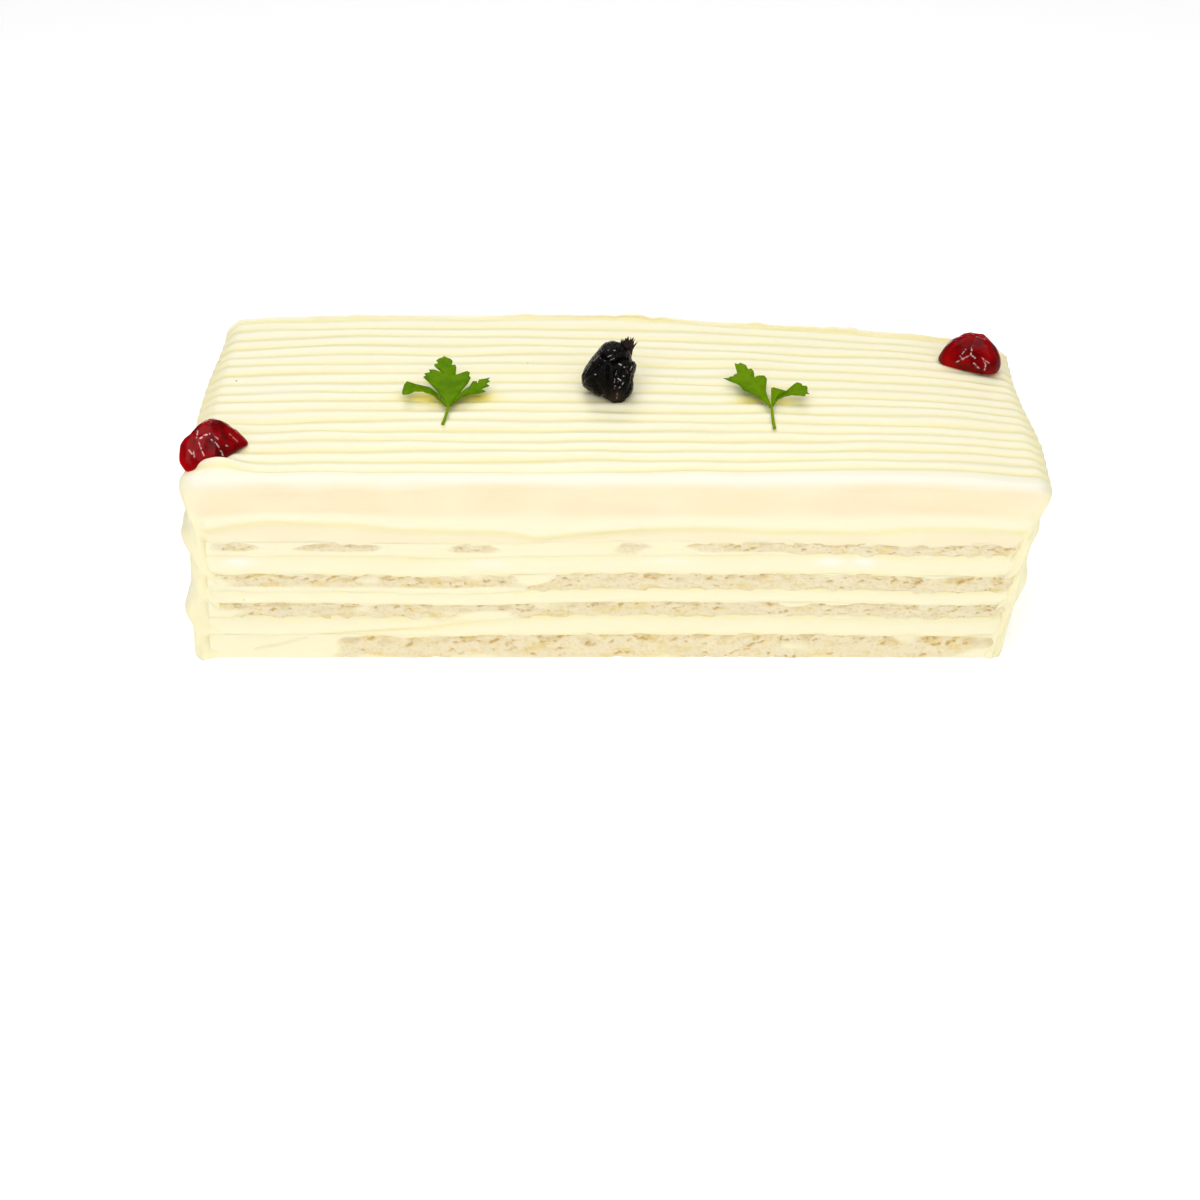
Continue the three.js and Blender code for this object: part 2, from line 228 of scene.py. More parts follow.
def settle(x, y, z):
    """Moves points of the straight block to where they lie in the settled cake: the block
    leans right, tucks in and sags at its back right, and its layers wave."""
    right = right_share(x)
    right_end = smooth(x, RIGHT_FACE - END_SAG_REACH, RIGHT_FACE)
    left_end = smooth(-x, -LEFT_FACE - END_SAG_REACH, -LEFT_FACE)
    back = (y + HALF_DEPTH) / DEPTH
    in_cream = smooth(z, SAG_FLOOR, HEIGHT)
    in_layers = np.sin(np.pi * np.clip(z / (HEIGHT - WAVE_CLEARANCE), 0, 1))
    sag = right * BACK_SAG * back + right_end * END_SAG + left_end * LEFT_SAG * (0.5 + back)
    wave = np.sin(x / LONG_WAVE + 0.6) + 0.4 * np.sin(x / SHORT_WAVE + 2)
    settled = (
        x + LEAN * (z / HEIGHT - 0.5),
        y - BACK_TUCK * right * back,
        z - sag * in_cream + LAYER_WAVE * in_layers * wave,
    )
    return np.stack(np.broadcast_arrays(*settled), axis=-1)


def end_relief(on_left, z, y):
    """How far the soft folds stand out of an end coat: bells about each fold's height,
    which wanders across the end and drops towards its corners, fading out at the top.
    The left end also bulges at its upper front corner."""
    total = 0
    for choice, side in ((LEFT_FOLDS, on_left), (RIGHT_FOLDS, ~on_left)):
        out = choice["base"]
        for height, reach, spread, drop in choice["folds"]:
            drop = drop * smooth(np.abs(y), 25, 50)
            away = (z - height + drop - FOLD_WANDER * np.sin(y / 19 + height)) / spread
            out = out + reach * (0.75 + 0.25 * np.cos(y / 14 + height)) * np.exp(-away * away)
        total = total + out * side
    corner = CORNER_BULGE * on_left * mound(z - CORNER_HEIGHT, 3) * smooth(-y, 36, 47)
    return total * smooth(HEIGHT - z, 0, 5) + corner


def on_cream(along, y, height):
    """Points at a height off the cream's crests, given by the distance along the top from
    its middle, going round the end corners, and by the depth."""
    straight = np.where(along < 0, -LEFT_FACE, RIGHT_FACE) - TOP_CORNER_RADIUS
    past = np.maximum(np.abs(along) - straight, 0)
    angle = np.minimum(past / TOP_CORNER_RADIUS, np.pi / 2)
    on_top = smooth(np.pi / 2 - angle, 0, np.pi / 2)
    face_z = HEIGHT - TOP_CORNER_RADIUS * (1 - np.cos(angle))
    relief = (1 - on_top) * end_relief(along < 0, face_z, y)
    reach = TOP_CORNER_RADIUS + relief + height
    down = past - angle * TOP_CORNER_RADIUS
    x = np.minimum(np.abs(along), straight) + reach * np.sin(angle)
    z = HEIGHT - TOP_CORNER_RADIUS + reach * np.cos(angle) - down
    return settle(np.sign(along) * x, y, z)


def tube_faces(rings, count, first=0):
    """Faces that join rings of count points each into a tube, with a fan at either end
    about a middle point that follows the rings. Gives the corner numbers of its
    four-sided and of its three-sided faces."""
    i, j = np.meshgrid(np.arange(rings - 1), np.arange(count), indexing="ij")
    a = first + i * count + j
    b = first + i * count + (j + 1) % count
    sides = np.stack([a, b, b + count, a + count], axis=-1).reshape(-1, 4)
    middle = first + rings * count
    j = np.arange(count)
    last = first + (rings - 1) * count
    start = np.stack([np.full(count, middle), first + (j + 1) % count, first + j], axis=-1)
    end = np.stack([np.full(count, middle + 1), last + j, last + (j + 1) % count], axis=-1)
    return sides, np.concatenate([start, end])


def signed_volume(grid):
    """Six times the volume inside the tube of rings, below zero where its faces point
    inwards: the sum over its quads of the triple products of their two triangles."""
    centred = grid - grid.mean(axis=(0, 1))
    a, d = centred[:-1], centred[1:]
    b, c = np.roll(a, -1, axis=1), np.roll(d, -1, axis=1)
    return (np.cross(a, b) * c).sum() + (np.cross(a, c) * d).sum()


def make_piece(name, tubes, material, marks=None):
    """One mesh object from closed tubes, each an array of rings of points in millimetres.
    Marks are named numbers, one grid for each tube, kept on the points."""
    points, faces, first = [], [], 0
    for grid in tubes:
        rings, count = grid.shape[:2]
        turn = -1 if signed_volume(grid) < 0 else 1
        for corners in tube_faces(rings, count, first):
            faces += corners[:, ::turn].tolist()
        points += [grid.reshape(-1, 3), grid[[0, -1]].mean(axis=1)]
        first += rings * count + 2
    mesh = bpy.data.meshes.new(name)
    mesh.from_pydata((np.concatenate(points) * MM).tolist(), [], faces)
    for mark, grids in (marks or {}).items():
        values = []
        for grid in grids:
            values += [grid.ravel(), grid[[0, -1]].mean(axis=1)]
        attribute = mesh.attributes.new(mark, "FLOAT", "POINT")
        attribute.data.foreach_set("value", np.concatenate(values).astype(np.float32))
    mesh.shade_smooth()
    mesh.materials.append(material)
    piece = bpy.data.objects.new(name, mesh)
    bpy.context.scene.collection.objects.link(piece)
    return piece


def dress(piece, node):
    """Lets a piece stand for its solid and move with the cake."""
    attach(piece, "root")
    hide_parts(node)


# Shader maths

# Sockets that go by number, because they share a name or are not the first output
MIX_FACTOR, MIX_FIRST, MIX_SECOND, MIX_RESULT = 0, 6, 7, 2
ATTRIBUTE_FACTOR = 2
OBJECT_COORDINATES = 3
CELL_COLOUR = 1


class Wire:
    """An output socket. Expressions on wires and numbers add Math nodes."""

    def __init__(self, paint, socket):
        self.paint = paint
        self.socket = socket

    def maths(self, operation, *terms):
        """The Math node of that operation on the terms."""
        return self.paint.add("ShaderNodeMath", {"operation": operation}, dict(enumerate(terms)))

    def __add__(self, other):
        return self.maths("ADD", self, other)

    def __radd__(self, other):
        return self.maths("ADD", other, self)

    def __sub__(self, other):
        return self.maths("SUBTRACT", self, other)

    def __rsub__(self, other):
        return self.maths("SUBTRACT", other, self)

    def __mul__(self, other):
        return self.maths("MULTIPLY", self, other)

    def __rmul__(self, other):
        return self.maths("MULTIPLY", other, self)

    def step(self, low, high):
        """0 up to low, 1 from high on, smooth between."""
        sockets = {"Value": self, "From Min": low, "From Max": high}
        return self.paint.add("ShaderNodeMapRange", {"interpolation_type": "SMOOTHSTEP"}, sockets)


class Paint:
    """The node tree of one material."""

    def __init__(self, name):
        self.material = bpy.data.materials.new(name)
        self.material.use_nodes = True
        self.tree = self.material.node_tree
        self.tree.nodes.clear()

    def add(self, kind, settings=None, sockets=None, output=0):
        """A node of any type. Its settings are set first, then its sockets are given
        their values or wires. Gives the wire of the output asked for."""
        node = self.tree.nodes.new(kind)
        for key, value in (settings or {}).items():
            setattr(node, key, value)
        for key, value in (sockets or {}).items():
            if isinstance(value, Wire):
                self.tree.links.new(value.socket, node.inputs[key])
            else:
                node.inputs[key].default_value = value
        return Wire(self, node.outputs[output])

    def mark(self, name):
        """A named number kept on the piece's points."""
        return self.add("ShaderNodeAttribute", {"attribute_name": name}, output=ATTRIBUTE_FACTOR)

    def place(self, stretch=(1, 1, 1)):
        """Object coordinates in millimetres, squeezed along each axis by stretch."""
        scale = tuple(1 / MM / factor for factor in stretch)
        coordinates = self.add("ShaderNodeTexCoord", output=OBJECT_COORDINATES)
        return self.add("ShaderNodeMapping", {}, {"Vector": coordinates, "Scale": scale})

    def noise(self, size, stretch=(1, 1, 1), detail=3.0, roughness=0.5):
        """Cloudy noise whose patches are about size millimetres across."""
        sockets = {
            "Vector": self.place(stretch),
            "Scale": 1 / size,
            "Detail": detail,
            "Roughness": roughness,
        }
        return self.add("ShaderNodeTexNoise", {}, sockets)

    def cells(self, size, stretch=(1, 1, 1), output=0):
        """Cell pattern with one point in about each size millimetres: the distance to the
        nearest point, or with the output CELL_COLOUR its random colour."""
        sockets = {"Vector": self.place(stretch), "Scale": 1 / size}
        return self.add("ShaderNodeTexVoronoi", {}, sockets, output)

    def blend(self, first, second, share):
        """The first colour where share is 0, the second where it is 1."""
        sockets = {MIX_FACTOR: share, MIX_FIRST: first, MIX_SECOND: second}
        return self.add("ShaderNodeMix", {"data_type": "RGBA"}, sockets, output=MIX_RESULT)

    def bump(self, height, distance):
        """Normals of the surface raised by height times distance, in millimetres."""
        return self.add("ShaderNodeBump", {}, {"Height": height, "Distance": distance * MM})

    def shader(self, **sockets):
        """A Principled BSDF, whose sockets are named with _ for a space."""
        named = {key.replace("_", " "): value for key, value in sockets.items()}
        return self.add("ShaderNodeBsdfPrincipled", {"subsurface_method": "RANDOM_WALK"}, named)

    def finish(self, surface):
        """Puts the shader on the material and gives the material."""
        node = self.tree.nodes.new("ShaderNodeOutputMaterial")
        self.tree.links.new(surface.socket, node.inputs["Surface"])
        return self.material


def rgba(colour):
    """A property's three numbers as a colour with alpha 1."""
    return (*colour, 1.0)


def cream_shader(paint, cream):
    """Satin cream. Its marks set its colour and paint in shade and light: deeper in the
    comb's valleys, in creases and at the fillings' edges, paler on highlights, browner
    in shade on the long sides, and a warm brown in the parsley's painted shadow."""
    clouds = paint.noise(14, (3, 1, 1))
    tint = paint.blend(rgba(cream.colour), rgba(cream.deep_and_shade_colour), paint.mark("yellow_and_shade"))
    tint = paint.blend(tint, rgba(cream.beige_shade_colour), paint.mark("beige_shade"))
    tint = paint.blend(tint, rgba(cream.deep_and_shade_colour), clouds.step(0.5, 0.8) * 0.2)
    dots = paint.cells(9)
    chosen = paint.cells(9, output=CELL_COLOUR)
    speck = (1 - dots.step(0.03, 0.055)) * chosen.step(0.82, 0.84)
    tint = paint.blend(tint, rgba(cream.speck_colour), speck * 0.7)
    tint = paint.blend(tint, rgba(cream.shade_colour), paint.mark("parsley_shadow"))
    streaks = paint.noise(1.1, (18, 1, 1), detail=4)
    grain = paint.noise(0.9, (2, 1, 1), detail=2)
    relief = streaks * 0.7 + grain * 0.3
    return paint.shader(
        Base_Color=tint,
        Roughness=clouds * 0.2 + 0.36,
        Normal=paint.bump(relief, 0.16),
        Subsurface_Weight=0.45,
        Subsurface_Radius=(1.0, 0.85, 0.6),
        Subsurface_Scale=cream.glow,
        Specular_IOR_Level=0.4,
    )


def cream_paint(cream):
    """The cream of the covering and of the fillings."""
    paint = Paint("cake_cream")
    return paint.finish(cream_shader(paint, cream))


def bread_paint(bread, cream):
    """Dry crumb with dark pores, which also carry painted shade along each slice's top,
    under smeared cream where the mark "film" says.
    """
    paint = Paint("cake_bread")
    pore = paint.mark("pore")
    film = paint.mark("film")
    patches = paint.noise(3.4, (2.4, 1, 1), detail=4, roughness=0.6)
    fine = paint.noise(0.8, (1.5, 1, 1), detail=4, roughness=0.65)
    holes = 1 - paint.cells(1.3, (1.6, 1, 1)).step(0.1, 0.5)
    toasted = patches.step(0.5, 0.68) * 0.6
    tint = paint.blend(rgba(bread.colour), rgba(bread.toasted_colour), toasted)
    tint = paint.blend(tint, rgba(bread.pale_colour), fine.step(0.5, 0.75) * 0.6)
    tint = paint.blend(tint, rgba(bread.toasted_colour), holes * fine.step(0.4, 0.6) * 0.6)
    # The pores' mark also carries the painted shade along each slice's top
    tint = paint.blend(tint, rgba(bread.pore_colour), pore * 0.85)
    crumb = paint.shader(
        Base_Color=tint,
        Roughness=fine * 0.15 + 0.78,
        Normal=paint.bump(fine * 0.8 - holes * 0.5, 0.35),
        Subsurface_Weight=0.4,
        Subsurface_Radius=(1.0, 0.7, 0.35),
        Subsurface_Scale=bread.glow,
        Specular_IOR_Level=0.2,
    )
    edge = (film + (fine - 0.5) * 0.5).step(0.1, 0.9)
    sockets = {0: edge, 1: crumb, 2: cream_shader(paint, cream)}
    return paint.finish(paint.add("ShaderNodeMixShader", {}, sockets))


def cherry_paint(fruit):
    """Candied cherry: dark translucent red, with painted glints along fine raised lines."""
    paint = Paint("candied_cherry")
    depth = paint.noise(5, detail=3)
    fine = paint.noise(2.2, detail=1)
    dark = depth.step(0.4, 0.65)
    tint = paint.blend(rgba(fruit.cherry_colour), rgba(fruit.cherry_dark_colour), dark)
    tint = paint.blend(tint, rgba(fruit.cherry_thin_colour), paint.mark("thin"))
    tint = paint.blend(tint, rgba(fruit.glint_colour), paint.mark("glint"))
    return paint.finish(paint.shader(
        Base_Color=tint,
        Roughness=fine * 0.06 + 0.05,
        Normal=paint.bump(fine, 0.08),
        Subsurface_Weight=0.6,
        Subsurface_Radius=(1.0, 0.08, 0.05),
        Subsurface_Scale=0.0012,
        Specular_IOR_Level=0.09,
    ))


def prune_paint(fruit):
    """Sticky black prune skin with finer wrinkles than the mesh has, a brown lower end
    and painted glints.
    """
    paint = Paint("prune_skin")
    wrinkles = paint.noise(1.3, detail=4, roughness=0.6)
    patches = paint.noise(5, detail=2)
    pale = patches.step(0.5, 0.75)
    tint = paint.blend(rgba(fruit.prune_colour), rgba(fruit.prune_pale_colour), pale)
    tint = paint.blend(tint, rgba(fruit.tuft_colour), paint.mark("tip"))
    # Painted glints
    tint = paint.blend(tint, rgba(fruit.glint_colour), paint.mark("glint"))
    return paint.finish(paint.shader(
        Base_Color=tint,
        Roughness=patches * 0.12 + 0.08,
        Normal=paint.bump(wrinkles, 0.3),
        Specular_IOR_Level=0.07,
    ))


def tuft_paint(fruit):
    """Dry brown sepals at the prune's end."""
    paint = Paint("prune_tuft")
    grain = paint.noise(0.6, detail=3)
    tint = paint.blend(rgba(fruit.tuft_colour), rgba(fruit.prune_colour), grain.step(0.4, 0.7))
    return paint.finish(paint.shader(
        Base_Color=tint,
        Roughness=grain * 0.2 + 0.6,
        Normal=paint.bump(grain, 0.2),
        Specular_IOR_Level=0.15,
    ))


def leaf_paint(leaf):
    """Fresh parsley: darker towards the veins' hollows, lighter along the ribs."""
    paint = Paint("parsley_leaf")
    rib = paint.mark("rib")
    clouds = paint.noise(4, detail=3)
    grain = paint.noise(0.5, detail=3)
    tint = paint.blend(rgba(leaf.colour), rgba(leaf.dark_colour), clouds.step(0.4, 0.7) * 0.7)
    tint = paint.blend(tint, rgba(leaf.rib_colour), rib.step(0, 1))
    tint = paint.blend(tint, rgba(leaf.edge_colour), (0 - rib).step(0, 1))
    return paint.finish(paint.shader(
        Base_Color=tint,
        Roughness=grain * 0.15 + 0.38,
        Normal=paint.bump(grain * 0.4 - rib * 0.6, 0.12),
        Subsurface_Weight=0.35,
        Subsurface_Radius=(0.5, 1.0, 0.1),
        Subsurface_Scale=0.0005,
        Specular_IOR_Level=0.03,
    ))


# Cream covering

# Front side of the covering from its lower edge up. Each row has the share of the
# cream's thickness and how far it stands out of the front plane, first along the top
# and then on an end coat, which is feathered over the ends of the layers.
SIDE_ROWS = [
    (-0.07, -1.3, -0.50, -1.4),
    (-0.03, -0.85, -0.30, -1.0),
    (0.012, -0.55, -0.10, -0.7),
    (0.08, -0.15, 0.06, -0.45),
    (0.14, -0.4, 0.14, -0.35),
    (0.184, -0.85, 0.184, -0.3),
    (0.216, -0.6, 0.216, -0.25),
    (0.26, 0.15, 0.26, -0.2),
    (0.34, 0.6, 0.34, -0.2),
    (0.44, 0.35, 0.44, -0.3),
    (0.54, -0.35, 0.54, -0.5),
    (0.66, -0.6, 0.66, -0.8),
    (0.78, -0.35, 0.78, -1.2),
    (0.85, 0.05, 0.85, -1.6),
    (0.91, -0.2, 0.91, -2.2),
    (0.965, -0.95, 0.965, -3.2),
    (1.0, -2.4, 1.0, -4.8),
]

# Place along the cake, and height by which the crease under the front bulge is off there
CREASE_RISE = [
    (-138, -1.1), (-126, 1.4), (-114, 3.0), (-99, 2.6), (-85, 1.8), (-70, 0.2), (-55, -0.3),
    (-36, -1.1), (-26, -3.7), (-16, -2.6), (-4, -1.7), (16, -0.3), (31, 0.2), (60, -1.1),
    (87, -0.7), (100, 0.6), (112, 0.6), (134, -0.3),
]

# Lumps that stand up along the back edge: place, length and height
REAR_LUMPS = [
    (-96, 26, 0.5), (-34, 16, 0.5), (5, 10, 1.2), (20, 8, 0.8), (48, 6, 0.8),
    (74, 8, 0.9), (86, 5, 1.1), (104, 5, 0.6), (118, 9, 0.4),
]


def cover_path():
    """Stations of the covering: up the left end, along the top and down the right end.
    Each has its outer and inner point in X and Z, the outer normal, and how much of the
    top it is, 0 on an end coat and 1 along the top."""
    shoulder = HEIGHT - TOP_CORNER_RADIUS
    inner_shoulder = ROOF + GAP - INNER_CORNER_RADIUS
    rise = np.linspace(0, 1, END_STEPS, endpoint=False)
    angle = np.linspace(0, np.pi / 2, CORNER_STEPS, endpoint=False)
    along = np.linspace(0, 1, TOP_STEPS)

    def end(face, inner, facing):
        """An end coat and its rounded corner, from the floor up."""
        face_centre = face - facing * TOP_CORNER_RADIUS
        inner_centre = inner - facing * INNER_CORNER_RADIUS
        flat = np.stack([
            np.full_like(rise, face),
            shoulder * rise,
            np.full_like(rise, inner),
            inner_shoulder * rise,
            np.full_like(rise, facing),
            np.zeros_like(rise),
            np.zeros_like(rise),
        ])
        round_x, round_z = facing * np.cos(angle), np.sin(angle)
        corner = np.stack([
            face_centre + TOP_CORNER_RADIUS * round_x,
            shoulder + TOP_CORNER_RADIUS * round_z,
            inner_centre + INNER_CORNER_RADIUS * round_x,
            inner_shoulder + INNER_CORNER_RADIUS * round_z,
            round_x,
            round_z,
            smooth(angle, 0, np.pi / 2),
        ])
        return np.concatenate([flat, corner], axis=1)

    top = np.stack([
        mix(LEFT_FACE + TOP_CORNER_RADIUS, RIGHT_FACE - TOP_CORNER_RADIUS, along),
        np.full_like(along, HEIGHT),
        mix(INNER_LEFT + INNER_CORNER_RADIUS, INNER_RIGHT - INNER_CORNER_RADIUS, along),
        np.full_like(along, ROOF + GAP),
        np.zeros_like(along),
        np.ones_like(along),
        np.ones_like(along),
    ])
    left = end(LEFT_FACE, INNER_LEFT, -1.0)
    right = end(RIGHT_FACE, INNER_RIGHT, 1.0)[:, ::-1]
    rows = np.concatenate([left, top, right], axis=1)[:, :, None]
    names = ("outer_x", "outer_z", "inner_x", "inner_z", "normal_x", "normal_z", "top")
    return dict(zip(names, rows))


def layers(kind):
    """The layers of bread or of filling from the floor up: the number of each among all
    the layers, its node, and the heights of its bottom and of its top."""
    bottoms = [0.0, *LAYER_TOPS.values()]
    for number, (node, top) in enumerate(LAYER_TOPS.items()):
        if node.startswith(kind):
            yield number, node, bottoms[number], top


def filling_lumps(z):
    """Lumps 1 high at the heights of the fillings."""
    lumps = 0
    for _, _, bottom, top in layers("filling"):
        across = (2 * z - bottom - top) / (top - bottom + 1.4)
        lumps = lumps + np.clip(1 - across ** 2, 0, 1) ** 1.5
    return lumps


# Where the comb hardly bit: the valley, the place along it and the length
FAINT_VALLEY, FAINT_PLACE, FAINT_LENGTH = 8, -116, 13


def valley_strength(valley, x):
    """How deep each valley is along its length, about 1: slow waves that differ from one
    valley to the next, with one place where the comb hardly bit."""
    waves = 0.14 * np.sin(x / 37 + 2.3 * valley) + 0.12 * np.sin(x / 17 + 4.1 * valley)
    faint = mound(x - FAINT_PLACE, FAINT_LENGTH) * mound(valley - FAINT_VALLEY, 0.4)
    return 1 + waves - 0.8 * faint


def comb_relief(track, x):
    """Depth of the comb's marks, 0 to 1. Track counts the valleys: at whole numbers a
    valley, between them a crest, as the square of a cosine."""
    off = track - np.round(track)
    return np.cos(np.pi * off) ** 2 * valley_strength(np.round(track), x)


def comb_shade(track, x):
    """Painted shade in the comb's marks, which deepens the cream's colour, 0 to 1: most
    where a valley starts to rise towards the front."""
    off = track - np.round(track + 0.12) + 0.12
    return mound(off, 0.32) * valley_strength(np.round(track), x)


# Painted shadow of the parsley on the cream: place, reach in each direction, and strength
PARSLEY_SHADOWS = [
    (-63, -3.8, 7.5, 3.2, 0.9), (-56, -8.0, 8, 1.7, 0.5), (-45, -3.6, 6.5, 3.0, 0.95),
    (48, -3.6, 5, 3.0, 0.7), (59, -3.6, 6, 2.8, 0.8),
]


def sprig_shadow(x, y):
    """How strongly the parsley's shadow is painted on the cream: a sum of bells."""
    parsley_shadow = 0
    for at_x, at_y, wide, deep, strength in PARSLEY_SHADOWS:
        parsley_shadow = parsley_shadow + strength * mound(x + LEAN / 2 - at_x, wide) * mound(y - at_y, deep)
    return parsley_shadow


# Heap of cream beside the front cherry: place, length, depth and height
FRONT_HEAP = (-130.5, -45.3, 7.5, 3.6, 3.2)
# Width of the smooth rim past the first and the last valley, in valleys
RIM_SHARE = 0.85


def covering(cream):
    """The covering's rings: front side up, combed top to the back, back side down, and
    back along its inner face. Gives the points and three marks: the depth of the cream's
    colour, with painted shade and a painted highlight on the lip in it; painted shade on
    the long sides; and the parsley's painted shadow."""
    path = cover_path()
    x, top = path["outer_x"], path["top"]
    drift = RIDGE_DRIFT * right_share(x) * top
    shares, tops, end_shares, ends = (np.array(column) for column in zip(*SIDE_ROWS))

    def place(share, y, out):
        """Points at a share of the cream's thickness, standing out by a further relief."""
        on_left = np.broadcast_to(x < 0, np.broadcast_shapes(x.shape, np.shape(y)))
        relief = share * (out + (1 - top) * end_relief(on_left, path["outer_z"], y))
        relief = relief - share * top * RIGHT_DROP * smooth(x, 118, 138)
        at_x = mix(path["inner_x"], x, share) + path["normal_x"] * relief
        at_z = mix(path["inner_z"], path["outer_z"], share) + path["normal_z"] * relief
        return at_x, y, at_z

    def side(facing, seed):
        """A long side from its lower edge up, with a crease under its upper bulge and
        soft lumps on the end coats over the fillings."""
        spacing = (shares[0], 0.25, 0.84, 1)
        row = curve(np.linspace(0, 1, SIDE_STEPS), (0, 0.3, 0.8, 1), spacing)[None, :]
        setback = mix(curve(row, shares, ends), curve(row, shares, tops), top)
        places, rises = zip(*CREASE_RISE)
        lift = curve(-x * facing, places, rises) * top
        below = 1 - smooth(row, -0.06, 0.2)
        moved = mix(curve(row, shares, end_shares), row, top)
        moved = moved + lift / (HEIGHT - ROOF) * (1 - below) * (1 - smooth(row, 0.3, 0.6))
        moved = moved - (0.02 + 0.015 * ripples(x, 0, 15, seed + 3)) * below * top
        height = mix(path["inner_z"], path["outer_z"], moved)
        lumps = filling_lumps(height) * (1 - top) * (1 - smooth(moved, 0.4, 0.9))
        # Knife marks, broad waves, and slow waves on the end coats
        rough = 0.16 * ripples(x, row * SIDE_HEIGHT, 9, seed, stretch=4) * window(row, 0.05, 0.92, 0.05)
        broad = ripples(x, row * SIDE_HEIGHT, 30, seed + 1, stretch=3)
        rough = rough + 0.3 * broad * window(row, 0.1, 0.9, 0.1)
        run = x + np.sign(x) * (HEIGHT - path["outer_z"])
        coats = ripples(run, row * 14, 15, seed + 6) * (1 - top)
        rough = rough + 0.45 * coats * (1 - smooth(row, 0.6, 0.95))
        y = facing * (HALF_DEPTH + setback + rough + 0.8 * lumps)
        # Painted shade: beige bands on the face and at its lower edge, and a yellower crease; a painted
        # highlight: the pale upper lip
        beige_shade = window(row, 0.45, 0.93, 0.08) + 0.7 * window(row, -0.2, 0.16, 0.06)
        beige_shade = beige_shade * top * (0.85 + 0.15 * ripples(x, row * SIDE_HEIGHT, 12, seed + 2, 3))
        yellow_and_shade = 0.42 - 0.4 * window(row, 0.87, 1.1, 0.05) + 0.5 * mound(row - 0.2, 0.05)
        yellow_and_shade = mix(0.65 + 0 * row, yellow_and_shade + 0 * x, top)
        return place(moved, y, 0 * x), yellow_and_shade, beige_shade, 0 * beige_shade

    def combed():
        """The top from the front edge to the back: wandering valleys between crests,
        lumps along the back edge and a heap at the left of the front one."""
        count = (RIDGE_COUNT + 1) * RIDGE_STEPS
        track = np.linspace(-RIM_SHARE, RIDGE_COUNT + RIM_SHARE, count)[None, :]
        edge = HALF_DEPTH + mix(ends[-1], tops[-1], top)
        narrowing = edge / (HALF_DEPTH + tops[-1])
        # Valleys at an even pitch that wander; towards the right the front ones drift back
        wander = 0.35 * np.sin(x / 31 + track * 1.7) + 0.2 * np.sin(x / 12 + track * 2.9)
        inside = np.clip(track, 0, RIDGE_COUNT)
        y = FIRST_VALLEY + inside * RIDGE_PITCH + wander + drift * (1 - inside / RIDGE_COUNT)
        # Past the outer valleys the rim runs to the upper edges of the sides
        past = (track - inside) / RIM_SHARE
        y = mix(y * narrowing, np.sign(past) * (edge - 0.4), np.abs(past))
        combed_share = smooth(path["outer_z"], RIDGE_FADE_HEIGHT, HEIGHT - TOP_CORNER_RADIUS)
        fade = combed_share * mix(0.4, 1, top)
        marks = window(track, -0.4, RIDGE_COUNT + 0.4, 0.25)
        depth = comb_relief(track, x) * fade * marks
        out = -cream.ridge_depth / MM * depth
        out = out + 0.18 * ripples(x, y, 26, 5, stretch=2) * fade
        for lump, length, height in REAR_LUMPS:
            ragged = 1 + 0.35 * np.sin(x / 2.3 + lump) + 0.2 * np.sin(x / 1.1)
            out = out + height * top * ragged * mound(x - lump, length) * smooth(y, 46.5, 51)
        heap_x, heap_y, heap_length, heap_depth, heap_height = FRONT_HEAP
        heap = mound(x - heap_x, heap_length) * mound(y - heap_y, heap_depth)
        out = out + heap_height * heap * top
        rim = smooth(y, 45.5, 50) * (0.55 + 0.45 * np.sin(x / 9 + 1)) * top
        rim = 0.5 * rim * smooth(x, -30, 10)
        # Painted shade in the comb's valleys
        shade = 0.8 * comb_shade(track, x) * combed_share * marks
        yellow_and_shade = mix(0.6, 0.2, top) + shade + rim
        return place(np.ones_like(y), y, out), yellow_and_shade, 0 * yellow_and_shade, sprig_shadow(x, y) * top

    def inner():
        """The face that lies on the layers, from back to front."""
        y = np.linspace(HALF_DEPTH + tops[0], -HALF_DEPTH - tops[0], INNER_STEPS)[None, 1:-1]
        blank = 0 * (x + y)
        return place(blank, y + blank, blank), blank, blank, blank

    back = side(1, 31)
    parts = [side(-1, 11), combed(), reverse(back), inner()]
    grids, *marks = zip(*parts)
    full = [np.broadcast_arrays(*grid) for grid in grids]
    points = np.concatenate([settle(*grid) for grid in full], axis=1)
    whole = []
    for mark in marks:
        shown = [np.broadcast_to(part, grid[0].shape) for part, grid in zip(mark, full)]
        whole.append([np.clip(np.concatenate(shown, axis=1), 0, 1)])
    return points, dict(zip(("yellow_and_shade", "beige_shade", "parsley_shadow"), whole))


def reverse(part):
    """A side of the covering, read from its upper edge down."""
    grid, *marks = part
    full = [array[:, ::-1] for array in np.broadcast_arrays(*grid)]
    return full, *(mark[:, ::-1] for mark in marks)


# Layers

# Share of the end coats' thickness that the layers run into, where cream closes over them
END_OVERLAP = 0.5
BREAD_OVERLAP = 0.1
# How far a filling reaches into the slices under and over it
FILLING_OVERLAP = 0.9


def face_places(overlap):
    """The places of a layer's face points along the cake, and up the face from 0 to 1,
    closer together at its edges."""
    start, end = INNER_LEFT - overlap * LEFT_COAT, INNER_RIGHT + overlap * RIGHT_COAT
    even = np.linspace(0, 1, BAND_ROWS)
    rise = mix(even, 0.5 - 0.5 * np.cos(np.pi * even), 0.5)
    return np.linspace(start, end, BAND_STEPS)[:, None], rise[None, :]


